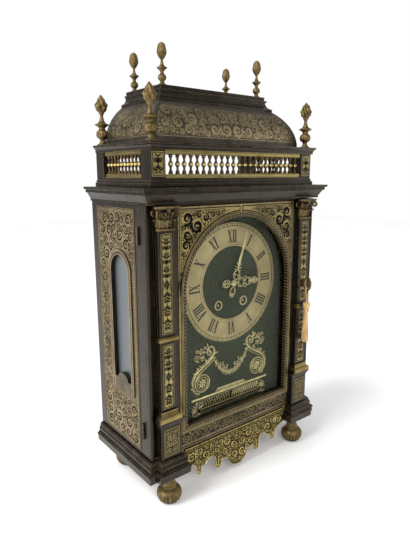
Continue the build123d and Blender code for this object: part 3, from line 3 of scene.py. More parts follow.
import bpy
import numpy as np
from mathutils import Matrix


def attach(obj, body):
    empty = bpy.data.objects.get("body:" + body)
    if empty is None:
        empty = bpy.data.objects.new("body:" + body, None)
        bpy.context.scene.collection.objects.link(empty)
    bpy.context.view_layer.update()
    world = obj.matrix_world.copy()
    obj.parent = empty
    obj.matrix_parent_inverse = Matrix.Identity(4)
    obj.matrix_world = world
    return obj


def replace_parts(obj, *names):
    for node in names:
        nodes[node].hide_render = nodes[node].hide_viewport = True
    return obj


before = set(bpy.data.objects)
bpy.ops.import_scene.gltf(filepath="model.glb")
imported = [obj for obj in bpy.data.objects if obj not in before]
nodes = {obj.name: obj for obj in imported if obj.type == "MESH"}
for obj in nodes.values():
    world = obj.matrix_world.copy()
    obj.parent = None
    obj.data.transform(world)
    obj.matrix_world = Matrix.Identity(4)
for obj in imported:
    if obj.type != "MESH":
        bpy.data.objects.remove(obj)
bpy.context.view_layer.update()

scene = bpy.context.scene

# Places of the clock in millimetres, repeated from the solids
FACE = -65.125
BACK = 78.875
DIAL_Z = 296.3
BOARD_Y = FACE + 20.0
HAND_Y = BOARD_Y - 5.0
MINUTE_Y = BOARD_Y - 7.8
PILASTER_X = 132.7
PEDESTAL_X = 130.35
FIELD_X = 108.9
FIELD_TOP = 411.6
FIELD_Y = FACE - 0.8
WINDOW_Y = FACE + 67.0
WINDOW_Z = 326.0
GALLERY_Z = 467.25
DOME_Y = FACE + 17.0
DOME_X = 133.5
SIDE_X = 159.3
GALLERY_Y = FACE + 5.25
WINDING_X = 24.8
WINDING_Z = 264.6
ARCH_HALF = 107.0
ARCH_LOW = 98.5
KEY_X = PILASTER_X
KEY_Z = 281.0
BOW_Y = FACE - 16.0
BOW_TALL = 23.0
BOW_BAR = 1.5
CORD_GAP = 0.35
CORD_THICK = 1.5
TASSEL_TOP = 250.5
SIDES = ((-1, "left"), (1, "right"))
FIFTH_TURN = 1.257
GOLDEN_TURN = 2.39996


# Node materials, in metres

class Paint:
    """A node material: its shader and short calls that add and wire nodes."""

    def __init__(self, name):
        self.material = bpy.data.materials.new(name)
        self.material.use_nodes = True
        self.tree = self.material.node_tree
        self.shader = self.tree.nodes["Principled BSDF"]
        self.place = self.add("ShaderNodeTexCoord").outputs["Object"]

    def add(self, kind, **settings):
        node = self.tree.nodes.new(kind)
        for key, value in settings.items():
            setattr(node, key, value)
        return node

    def wire(self, socket, value):
        if isinstance(value, bpy.types.NodeSocket):
            self.tree.links.new(value, socket)
        elif isinstance(value, (tuple, list)) and len(value) == 3 and socket.type == "RGBA":
            socket.default_value = (*value, 1)
        else:
            socket.default_value = value

    def set(self, name, value):
        self.wire(self.shader.inputs[name], value)

    def finish(self, colour, rough, metallic=0.0, specular=0.5):
        """Sets what every finish has and gives the material back."""
        self.set("Base Color", colour)
        self.set("Roughness", rough)
        self.set("Metallic", metallic)
        self.set("Specular IOR Level", specular)
        return self.material

    def stretched(self, scale):
        node = self.add("ShaderNodeMapping")
        self.wire(node.inputs["Vector"], self.place)
        node.inputs["Scale"].default_value = scale
        return node.outputs["Vector"]

    def noise(self, scale, detail=3.0, rough=0.5, stretch=None, distort=0.0):
        node = self.add("ShaderNodeTexNoise")
        self.wire(node.inputs["Vector"], self.stretched(stretch) if stretch else self.place)
        for name, value in (("Scale", scale), ("Detail", detail), ("Roughness", rough), ("Distortion", distort)):
            node.inputs[name].default_value = value
        return node.outputs["Fac"]

    def ramp(self, value, *stops):
        node = self.add("ShaderNodeValToRGB")
        self.wire(node.inputs["Fac"], value)
        bar = node.color_ramp.elements
        while len(bar) < len(stops):
            bar.new(0.5)
        for element, (place, colour) in zip(bar, stops):
            element.position = place
            element.color = (*colour, 1) if isinstance(colour, tuple) else (colour, colour, colour, 1)
        return node.outputs["Color"]

    def blend(self, value, low, high, start=0.3, end=0.7):
        """Goes from low to high while value goes from start to end."""
        return self.ramp(value, (start, low), (end, high))

    def mix(self, share, first, second):
        node = self.add("ShaderNodeMix", data_type="RGBA")
        self.wire(node.inputs["Factor"], share)
        self.wire(node.inputs[6], first)
        self.wire(node.inputs[7], second)
        return node.outputs[2]

    def sum(self, operation, first, second=0.0, third=0.0):
        node = self.add("ShaderNodeMath", operation=operation)
        for socket, value in zip(node.inputs, (first, second, third)):
            self.wire(socket, value)
        return node.outputs[0]

    def times(self, first, second):
        return self.sum("MULTIPLY", first, second)

    def minus(self, first, second):
        return self.sum("SUBTRACT", first, second)

    def below(self, value, limit):
        return self.sum("LESS_THAN", value, limit)

    def over(self, value, limit):
        return self.sum("GREATER_THAN", value, limit)

    def near(self, value, centre, half):
        """1 where value is less than half away from centre, else 0."""
        return self.below(self.sum("ABSOLUTE", self.minus(value, centre)), half)

    def most(self, first, *others):
        for other in others:
            first = self.sum("MAXIMUM", first, other)
        return first

    def either(self, share, first, second):
        """First where share is 1 and second where it is 0."""
        return self.sum("ADD", self.times(share, first), self.times(self.minus(1.0, share), second))

    def length(self, x, z):
        return self.sum("SQRT", self.sum("ADD", self.times(x, x), self.times(z, z)))

    def round_headed(self, across, up, straight, beside, mean):
        """Distance from the middle of a round-headed frame and length along it, for a mean radius of its arc."""
        above = self.over(up, 0.0)
        arc = self.times(self.sum("ARCTAN2", up, across), mean)
        return self.either(above, self.length(across, up), straight), self.either(above, arc, beside)

    def split(self, vector):
        node = self.add("ShaderNodeSeparateXYZ")
        self.wire(node.inputs[0], vector)
        return node.outputs

    def axes(self):
        return self.split(self.place)

    def sideways(self, least):
        """1 on faces that look to a side, 0 on the others."""
        turned = self.split(self.tree.nodes["Texture Coordinate"].outputs["Normal"])
        return self.over(self.sum("ABSOLUTE", turned[0]), least)

    def bump(self, height, distance, strength):
        node = self.add("ShaderNodeBump")
        self.wire(node.inputs["Height"], height)
        node.inputs["Distance"].default_value = distance
        node.inputs["Strength"].default_value = strength
        return node.outputs["Normal"]

    def relief(self, height, distance, strength):
        self.set("Normal", self.bump(height, distance, strength))

    def hollows(self, reach):
        """Darkness of corners and recesses, 0 deep in them and 1 in the open."""
        node = self.add("ShaderNodeAmbientOcclusion", samples=8)
        node.inputs["Distance"].default_value = reach
        return node.outputs["AO"]

    def edges(self, radius):
        """Share of edge wear and painted edge highlight, 1 on sharp edges and 0 on flat faces."""
        bevel = self.add("ShaderNodeBevel", samples=4)
        bevel.inputs["Radius"].default_value = radius
        plain = self.add("ShaderNodeNewGeometry")
        dot = self.add("ShaderNodeVectorMath", operation="DOT_PRODUCT")
        self.wire(dot.inputs[0], bevel.outputs["Normal"])
        self.wire(dot.inputs[1], plain.outputs["Normal"])
        return self.times(self.minus(1.0, dot.outputs["Value"]), 6.0)


def scaled(colour, share):
    return tuple(min(1.0, c * share) for c in colour)


def ebony():
    p = Paint("ebony")
    grain = p.noise(9.0, 5.0, 0.6, (14.0, 14.0, 1.6), 0.4)
    cloud = p.noise(22.0, 3.0, 0.55)
    base = p.ramp(grain, (0.3, (0.002, 0.0018, 0.0012)), (0.55, (0.007, 0.005, 0.0034)),
                  (0.8, (0.022, 0.014, 0.0085)))
    base = p.mix(p.blend(cloud, 0.0, 0.5, 0.45, 0.75), base, (0.018, 0.014, 0.01))
    # Lighter brown on sharp edges: partly real wear, partly a painted highlight along the moulding edges.
    edge_wear_and_highlight = p.times(p.edges(0.0006), p.blend(p.noise(60.0), 0.15, 1.0, 0.38, 0.6))
    base = p.mix(edge_wear_and_highlight, base, (0.22, 0.16, 0.1))
    p.set("Specular Tint", (1.0, 0.86, 0.66))
    p.relief(p.noise(60.0, 5.0, 0.6, (9.0, 9.0, 1.0)), 0.0004, 0.22)
    rough = p.blend(p.noise(45.0, 4.0), 0.17, 0.33)
    # Specular lowered in corners and recesses by ambient occlusion: painted shade on the reflection.
    return p.finish(base, rough, specular=p.blend(p.hollows(0.007), 0.02, 0.38, 0.45, 0.95))


def gilt(name, low, high, rough, patina, reach=0.004):
    """Gilt metal with its patina left in the hollows."""
    p = Paint(name)
    grain = 140.0
    open_share = p.blend(p.hollows(reach), 0.0, 1.0, 0.35, 0.85)
    base = p.mix(open_share, patina, p.blend(p.noise(grain, 4.0, 0.6), low, high))
    p.relief(p.noise(grain * 2.5), 0.0003, 0.3)
    return p.finish(base, p.blend(p.noise(grain * 1.7), rough - 0.08, rough + 0.14),
                    p.blend(open_share, 0.45, 1.0, 0.0, 0.6))


def shell():
    p = Paint("shell")
    patch = p.noise(55.0, 3.0, 0.55, None, 0.6)
    base = p.ramp(patch, (0.35, (0.005, 0.004, 0.003)), (0.62, (0.012, 0.008, 0.005)),
                  (0.85, (0.06, 0.022, 0.01)))
    p.relief(p.noise(240.0, 2.0), 0.0002, 0.25)
    return p.finish(base, p.blend(p.noise(90.0), 0.25, 0.42), specular=0.14)


def inlay_brass(name, low, high, rough=0.4, fade=None):
    """Sheet brass let into the veneer: scratched, with dark patches; fade dulls it between two heights."""
    p = Paint(name)
    scratch = p.noise(90.0, 4.0, 0.6, (2.0, 2.0, 9.0))
    cloud = p.noise(18.0, 4.0, 0.6)
    base = p.mix(p.blend(cloud, 0.0, 0.75, 0.42, 0.78), p.blend(scratch, low, high, 0.3, 0.72), scaled(low, 0.42))
    if fade:
        height = p.sum("DIVIDE", p.minus(p.axes()[2], fade[0]), fade[1] - fade[0])
        height = p.sum("ADD", height, p.times(p.minus(cloud, 0.5), 0.9))
        base = p.mix(p.blend(height, 0.0, 0.8, 0.25, 0.85), base, scaled(low, 0.5))
    p.relief(scratch, 0.0002, 0.2)
    return p.finish(base, p.blend(cloud, rough - 0.08, rough + 0.15, 0.3, 0.75), 0.85)


def old_wood():
    p = Paint("oak")
    grain = p.noise(7.0, 6.0, 0.65, (16.0, 16.0, 1.5), 0.5)
    pores = p.noise(60.0, 3.0, 0.6, (16.0, 16.0, 1.2))
    base = p.ramp(grain, (0.3, (0.1, 0.052, 0.024)), (0.55, (0.2, 0.115, 0.055)), (0.8, (0.3, 0.19, 0.1)))
    base = p.mix(p.blend(pores, 0.0, 0.7, 0.55, 0.72), base, (0.045, 0.024, 0.012))
    p.relief(pores, 0.0005, 0.5)
    return p.finish(base, p.blend(pores, 0.5, 0.75, 0.3, 0.8))


def velvet():
    p = Paint("velvet")
    nap = p.noise(9.0)
    p.set("Sheen Weight", 0.12)
    p.set("Sheen Tint", (0.8, 0.85, 0.65))
    p.set("Sheen Roughness", 0.5)
    base = p.blend(nap, (0.042, 0.045, 0.034), (0.056, 0.059, 0.046))
    return p.finish(base, p.blend(nap, 0.85, 0.95), specular=0.2)


def glass(name, tint, mirror, rough, sheen):
    """Thin old glass: clear, with a share of wavy reflection."""
    p = Paint(name)
    clear = p.add("ShaderNodeBsdfTransparent")
    p.wire(clear.inputs["Color"], p.blend(p.noise(30.0), tint, scaled(tint, 1.04)))
    shine = p.add("ShaderNodeBsdfAnisotropic")
    cloud = p.noise(6.0, 3.0, 0.5, (1.0, 1.0, 0.4))
    p.wire(shine.inputs["Color"], p.blend(cloud, scaled(sheen, 0.8), sheen))
    p.wire(shine.inputs["Roughness"], rough)
    p.wire(shine.inputs["Normal"], p.bump(p.noise(9.0, 2.0, 0.5, (1.0, 1.0, 0.5)), 0.002, 0.25))
    slant = p.add("ShaderNodeLayerWeight")
    share = p.sum("MULTIPLY_ADD", p.sum("POWER", slant.outputs["Facing"], 5.0), 0.6, mirror)
    both = p.add("ShaderNodeMixShader")
    for socket, value in zip(both.inputs, (share, clear.outputs[0], shine.outputs[0])):
        p.wire(socket, value)
    p.wire(p.tree.nodes["Material Output"].inputs["Surface"], both.outputs[0])
    return p.material


def metal(name, low, high, rough):
    p = Paint(name)
    brushed = p.noise(160.0, 4.0, 0.6, (1.0, 12.0, 1.0))
    p.relief(brushed, 0.0002, 0.25)
    return p.finish(p.blend(brushed, low, high), p.blend(brushed, rough - 0.07, rough + 0.12), 1.0)


def silk():
    p = Paint("silk")
    thread = p.noise(260.0, 2.0, 0.5, (4.0, 4.0, 0.12))
    p.set("Sheen Weight", 0.6)
    p.set("Subsurface Weight", 0.08)
    p.set("Subsurface Radius", (0.004, 0.002, 0.001))
    p.relief(thread, 0.0005, 0.6)
    base = p.blend(thread, (0.2, 0.075, 0.012), (0.95, 0.6, 0.22), 0.25, 0.75)
    return p.finish(base, p.blend(thread, 0.42, 0.62))


def wax():
    p = Paint("numeral_wax")
    speck = p.noise(300.0)
    base = p.blend(speck, (0.014, 0.014, 0.014), (0.06, 0.055, 0.045), 0.3, 0.75)
    return p.finish(base, p.blend(speck, 0.45, 0.7))


def ring_brass():
    """Matted brass of the chapter ring with its engraved circles and minute marks."""
    p = Paint("chapter_brass")
    x, _, z = p.axes()
    up = p.minus(z, DIAL_Z / 1000)
    radius = p.length(x, up)
    circles = [p.near(radius, *circle) for circle in ((0.0572, 0.00022), (0.0607, 0.00018), (0.0885, 0.00022))]
    turn = p.sum("DIVIDE", p.sum("ARCTAN2", x, up), 2 * math.pi / 60)
    tick = p.near(p.sum("FRACT", p.sum("ADD", turn, 60.5)), 0.5, 0.045)
    band = p.times(p.over(radius, 0.0852), p.below(radius, 0.0884))
    cut = p.most(*circles, p.times(tick, band))
    mat_grain = p.noise(1500.0, 2.0, 0.6)
    base = p.blend(p.noise(28.0, 4.0, 0.6), (0.36, 0.27, 0.145), (0.55, 0.43, 0.25))
    base = p.mix(p.blend(mat_grain, 0.0, 0.16, 0.4, 0.62), base, (0.2, 0.15, 0.09))
    p.relief(mat_grain, 0.0002, 0.2)
    return p.finish(p.mix(cut, base, (0.035, 0.03, 0.024)), p.blend(mat_grain, 0.48, 0.6), 0.55)


def arch_brass():
    """Moulding round the glass: a gilt outer line, a dark band and a hatched gilt inner band."""
    p = Paint("arch_gilt")
    x, _, z = p.axes()
    beside = p.sum("ABSOLUTE", x)
    under = p.minus((ARCH_HALF + ARCH_LOW) / 1000, z)
    on_bar = p.over(under, beside)
    up = p.minus(z, DIAL_Z / 1000)
    radius, along = p.round_headed(x, up, p.most(beside, under), p.either(on_bar, x, z), 0.102)
    leaf = p.sum("SINE", p.sum("ADD", p.times(along, 2 * math.pi / 0.0048), p.times(radius, 900.0)))
    rope = p.times(p.below(radius, 0.1031), p.blend(leaf, 0.0, 0.75, 0.35, 0.62))
    gold = p.most(rope, p.over(radius, 0.1062), p.near(radius, 0.1046, 0.00045))
    cloud = p.noise(60.0, 4.0)
    colour = p.blend(cloud, (0.15, 0.108, 0.042), (0.4, 0.3, 0.125))
    p.relief(gold, 0.0006, 0.7)
    base = p.mix(gold, (0.013, 0.0095, 0.007), colour)
    return p.finish(base, p.blend(cloud, 0.3, 0.48), p.times(gold, 0.9), 0.22)


def mount_brass():
    """Polished brass facings whose returns at the sides are ebonised wood."""
    p = Paint("gilt_facing")
    dark = p.times(p.sideways(0.75), p.below(p.axes()[2], 0.1445))
    cloud = p.noise(50.0, 4.0, 0.6)
    colour = p.blend(cloud, (0.1, 0.076, 0.026), (0.34, 0.26, 0.095))
    # Near-black mixed into corners and recesses by ambient occlusion: painted shade on the brass.
    colour = p.mix(p.blend(p.hollows(0.005), 1.0, 0.0, 0.4, 0.95), colour, (0.03, 0.022, 0.01))
    base = p.mix(dark, colour, (0.01, 0.008, 0.006))
    return p.finish(base, p.blend(cloud, 0.24, 0.42), p.minus(1.0, dark), 0.22)


def rail_brass():
    """Drawn brass rails, each with two scribed lines."""
    p = Paint("brass_rail")
    height = p.axes()[2]
    cut = p.most(*[p.near(height, line, 0.00022) for line in (0.4512, 0.4537, 0.4808, 0.4833)])
    drawn = p.noise(120.0, 4.0, 0.6, (0.6, 0.6, 9.0))
    base = p.mix(cut, p.blend(drawn, (0.22, 0.17, 0.058), (0.46, 0.37, 0.15)), (0.07, 0.05, 0.02))
    return p.finish(base, p.blend(drawn, 0.26, 0.42), 1.0)


def baluster_bronze():
    """Dark patinated bronze, burnished on the bead in the middle."""
    p = Paint("gilt_baluster")
    bead = p.near(p.axes()[2], GALLERY_Z / 1000, 0.0015)
    cloud = p.noise(140.0)
    dark = p.blend(cloud, (0.045, 0.03, 0.015), (0.12, 0.082, 0.038))
    bright = p.blend(cloud, (0.4, 0.29, 0.1), (0.64, 0.49, 0.2))
    return p.finish(p.mix(bead, dark, bright), p.blend(cloud, 0.28, 0.44), 1.0)


def window_bronze():
    """Frame of a side window: beaded gilt edges on a dark strip, with its returns and sill painted near-black as
    shade.
    """
    p = Paint("gilt_window")
    _, y, z = p.axes()
    across = p.minus(y, WINDOW_Y / 1000)
    radius, along = p.round_headed(across, p.minus(z, WINDOW_Z / 1000), p.sum("ABSOLUTE", across), z, 0.029)
    bead = p.over(p.sum("SINE", p.times(along, 2 * math.pi / 0.0021)), -0.35)
    rim = p.most(p.times(bead, p.over(radius, 0.0282)), p.near(radius, 0.0238, 0.0005))
    facing = p.sideways(0.7)
    gold = p.times(facing, rim)
    cloud = p.noise(70.0, 4.0, 0.6)
    strip = p.blend(cloud, (0.03, 0.022, 0.012), (0.12, 0.088, 0.046), 0.35)
    # Faces that do not look to the side, the returns and the sill, get near-black: painted shadow of the gap
    # round the proud frame.
    strip = p.mix(facing, (0.006, 0.005, 0.004), strip)
    p.relief(gold, 0.0005, 0.6)
    base = p.mix(gold, strip, p.blend(cloud, (0.28, 0.2, 0.09), (0.5, 0.38, 0.19)))
    return p.finish(base, p.blend(cloud, 0.32, 0.48), p.times(gold, 0.9), 0.22)


M = {
    "ebony": ebony(),
    "shell": shell(),
    "oak": old_wood(),
    "velvet": velvet(),
    "ground": inlay_brass("marquetry", (0.2, 0.155, 0.058), (0.48, 0.38, 0.16)),
    "side_ground": inlay_brass("marquetry_side", (0.19, 0.142, 0.072), (0.4, 0.31, 0.165), 0.44),
    "side_figure": inlay_brass("marquetry_side_figure", (0.016, 0.011, 0.007), (0.055, 0.038, 0.022), 0.5),
    "dome_ground": inlay_brass("marquetry_dome", (0.045, 0.039, 0.029), (0.1, 0.085, 0.063), 0.46),
    "dome_inlay": inlay_brass("marquetry_dome_inlay", (0.2, 0.155, 0.08), (0.42, 0.33, 0.18), 0.46,
                              (0.505, 0.556)),
    "old_gilt": gilt("gilt_old", (0.09, 0.065, 0.028), (0.24, 0.175, 0.08), 0.42, (0.008, 0.006, 0.003), 0.009),
    "dark_gilt": gilt("gilt_dark", (0.09, 0.064, 0.026), (0.22, 0.16, 0.07), 0.48, (0.012, 0.009, 0.005), 0.007),
    "bronze": gilt("gilt_bronze", (0.05, 0.034, 0.018), (0.13, 0.09, 0.045), 0.4, (0.015, 0.01, 0.006)),
    "apron_gilt": gilt("gilt_apron", (0.3, 0.235, 0.075), (0.7, 0.56, 0.22), 0.27, (0.012, 0.009, 0.004), 0.005),
    "dial_gilt": gilt("gilt_dial", (0.52, 0.41, 0.22), (0.82, 0.7, 0.44), 0.38, (0.12, 0.1, 0.07), 0.003),
    "arch": arch_brass(),
    "facing": mount_brass(),
    "rail": rail_brass(),
    "baluster": baluster_bronze(),
    "window": window_bronze(),
    "ring": ring_brass(),
    "brass": metal("brass", (0.42, 0.31, 0.13), (0.62, 0.48, 0.23), 0.3),
    "key_brass": metal("key_brass", (0.16, 0.1, 0.04), (0.36, 0.25, 0.11), 0.36),
    "steel": metal("steel", (0.22, 0.215, 0.21), (0.4, 0.39, 0.38), 0.3),
    "iron": metal("iron", (0.05, 0.045, 0.04), (0.11, 0.1, 0.09), 0.5),
    "bell_metal": metal("bell_metal", (0.36, 0.3, 0.18), (0.54, 0.46, 0.28), 0.24),
    "wax": wax(),
    "door_glass": glass("glass", (0.9, 0.92, 0.89), 0.003, 0.2, (0.7, 0.7, 0.63)),
    "side_glass": glass("glass_side", (0.2, 0.24, 0.28), 0.85, 0.5, (0.29, 0.315, 0.33)),
    "silk": silk(),
}

# Finish of every solid that stays as it is
finishes = {
    "ebony": "base_moulding left_side right_side top_board cornice gallery_plinth gallery_cornice "
             "top_platform door_frame pilasters",
    "oak": "base_board back_panel back_door",
    "velvet": "dial_board",
    "ground": "door_marquetry",
    "side_ground": "side_marquetry",
    "dome_ground": "dome",
    "facing": "pilaster_mounts",
    "window": "window_frames",
    "rail": "gallery_rails",
    "arch": "door_arch_frame",
    "ring": "chapter_ring",
    "wax": "chapter_numerals",
    "door_glass": "door_glass",
    "side_glass": "window_glass",
    "brass": "back_door_catch front_plate back_plate suspension_cock going_barrel strike_barrel "
             "intermediate_wheel centre_wheel third_wheel escape_wheel pendulum_bob minute_wheel hour_wheel",
    "steel": "going_arbor strike_arbor pallet_anchor pendulum_rod hammer",
    "iron": "door_lock lock_bolt door_hinges case_hinges",
    "key_brass": "key",
    "bell_metal": "bell",
}
for finish, names in finishes.items():
    for name in names.split():
        for holder in nodes[name].material_slots:
            holder.material = M[finish]


# Pieces made of points and faces, in millimetres

class Piece:
    def __init__(self):
        self.points = []
        self.faces = []
        self.count = 0

    def add(self, points, faces):
        points = np.asarray(points, float).reshape(-1, 3)
        self.points.append(points)
        self.faces += [tuple(i + self.count for i in face) for face in faces]
        self.count += len(points)

    def make(self, name, finish, body="case", slot="gilt", smooth=True, bend=None):
        points = np.concatenate(self.points)
        if bend is not None:
            points = bend(points)
        mesh = bpy.data.meshes.new(name)
        mesh.from_pydata((points / 1000.0).tolist(), [], self.faces)
        mesh.materials.append(M[finish])
        if smooth:
            mesh.shade_smooth()
        mesh.validate()
        thing = bpy.data.objects.new(name, mesh)
        scene.collection.objects.link(thing)
        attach(thing, body)
        return thing


def grid_faces(rows, columns, closed=False):
    faces = []
    for r in range(rows - 1):
        for c in range(columns if closed else columns - 1):
            n = (c + 1) % columns
            faces.append((r * columns + c, r * columns + n, (r + 1) * columns + n, (r + 1) * columns + c))
    return faces


def capped_faces(rows, sides):
    """Faces of closed rings in a row, with both ends filled."""
    last = (rows - 1) * sides
    return grid_faces(rows, sides, True) + [tuple(reversed(range(sides))), tuple(range(last, last + sides))]


def full_turn(count):
    return np.linspace(0, 2 * math.pi, count, endpoint=False)


def circle(x, z, radius, angles):
    """Points at the given angles; radius may change along them."""
    return np.stack([x + radius * np.cos(angles), z + radius * np.sin(angles)], 1)


def unit(rows):
    return rows / (np.linalg.norm(rows, axis=1)[:, None] + 1e-12)


def lathe(piece, profile, place, segments=48, wave=None):
    """Turned form about a vertical axis; wave(angle, height share, radius) changes the radius."""
    profile = np.asarray(profile, float)
    angles = full_turn(segments)
    low, high = profile[:, 1].min(), profile[:, 1].max()
    rows = []
    for radius, height in profile:
        r = np.full(segments, radius)
        if wave is not None:
            r = wave(angles, (height - low) / (high - low), r)
        rows.append(np.stack([r * np.cos(angles), r * np.sin(angles), np.full(segments, height)], 1))
    piece.add(np.concatenate(rows) + np.asarray((*place, 0), float), capped_faces(len(profile), segments))


def turned_set(name, finish, node, profile, places, segments, wave=None):
    """Equal turned forms in one piece, which takes the place of a solid."""
    piece = Piece()
    for place in places:
        lathe(piece, profile, place, segments, wave)
    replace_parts(piece.make(name, finish), node)


def stretched_shape(shape, radius, low, tall):
    """Profile from shares of the height and of the largest radius."""
    return [(r * radius, low + t * tall) for t, r in shape]


def smooth_line(points, count):
    """Points spread evenly along a Catmull-Rom line through the given ones."""
    p = np.asarray(points, float)
    p = np.concatenate([[2 * p[0] - p[1]], p, [2 * p[-1] - p[-2]]])
    out = []
    steps = 12
    for i in range(1, len(p) - 2):
        for t in np.linspace(0, 1, steps, endpoint=False):
            a, b, c, d = p[i - 1], p[i], p[i + 1], p[i + 2]
            out.append(0.5 * (2 * b + (c - a) * t + (2 * a - 5 * b + 4 * c - d) * t ** 2
                              + (3 * b - a - 3 * c + d) * t ** 3))
    out.append(p[-2])
    out = np.array(out)
    length = np.concatenate([[0], np.cumsum(np.linalg.norm(np.diff(out, axis=0), axis=1))])
    even = np.linspace(0, length[-1], count)
    return np.stack([np.interp(even, length, out[:, k]) for k in range(out.shape[1])], 1)


def tube(piece, points, radii, sides=8):
    """Round bar along a line in space, its thickness changing along it."""
    p = np.asarray(points, float)
    radii = np.broadcast_to(np.asarray(radii, float), len(p))
    along = unit(np.gradient(p, axis=0))
    side = np.cross(along[0], (0, 1, 0) if abs(along[0][1]) < 0.9 else (1, 0, 0))
    side /= np.linalg.norm(side)
    turns = full_turn(sides)
    rows = []
    for i in range(len(p)):
        side = side - along[i] * side.dot(along[i])
        side /= np.linalg.norm(side) + 1e-12
        other = np.cross(along[i], side)
        rows.append(p[i] + radii[i] * (np.cos(turns)[:, None] * side + np.sin(turns)[:, None] * other))
    piece.add(np.concatenate(rows), capped_faces(len(p), sides))


def leaf(piece, points, across, widths, hump, lobes=0):
    """Bent leaf along a line; across is its width direction and hump its crown."""
    p = np.asarray(points, float)
    across = np.broadcast_to(np.asarray(across, float), p.shape)
    widths = np.asarray(widths, float)
    out = unit(np.cross(np.gradient(p, axis=0), across))
    rows = []
    shares = np.linspace(-1, 1, 7)
    crown = hump * (0.35 + 0.65 * np.cos(shares * math.pi / 2)) * (1 - 0.35 * np.cos(shares * 3 * math.pi))
    for i in range(len(p)):
        w = widths[i]
        if lobes:
            w = w * (1 - 0.28 * abs(math.sin(math.pi * lobes * i / (len(p) - 1))))
        lift = crown * min(1.0, w / (widths.max() * 0.5))
        rows.append(p[i] + shares[:, None] * w * across[i] + lift[:, None] * out[i])
    piece.add(np.concatenate(rows), grid_faces(len(p), 7))


# Flat ornament: ribbons and leaves drawn in (across, up) and laid on a surface

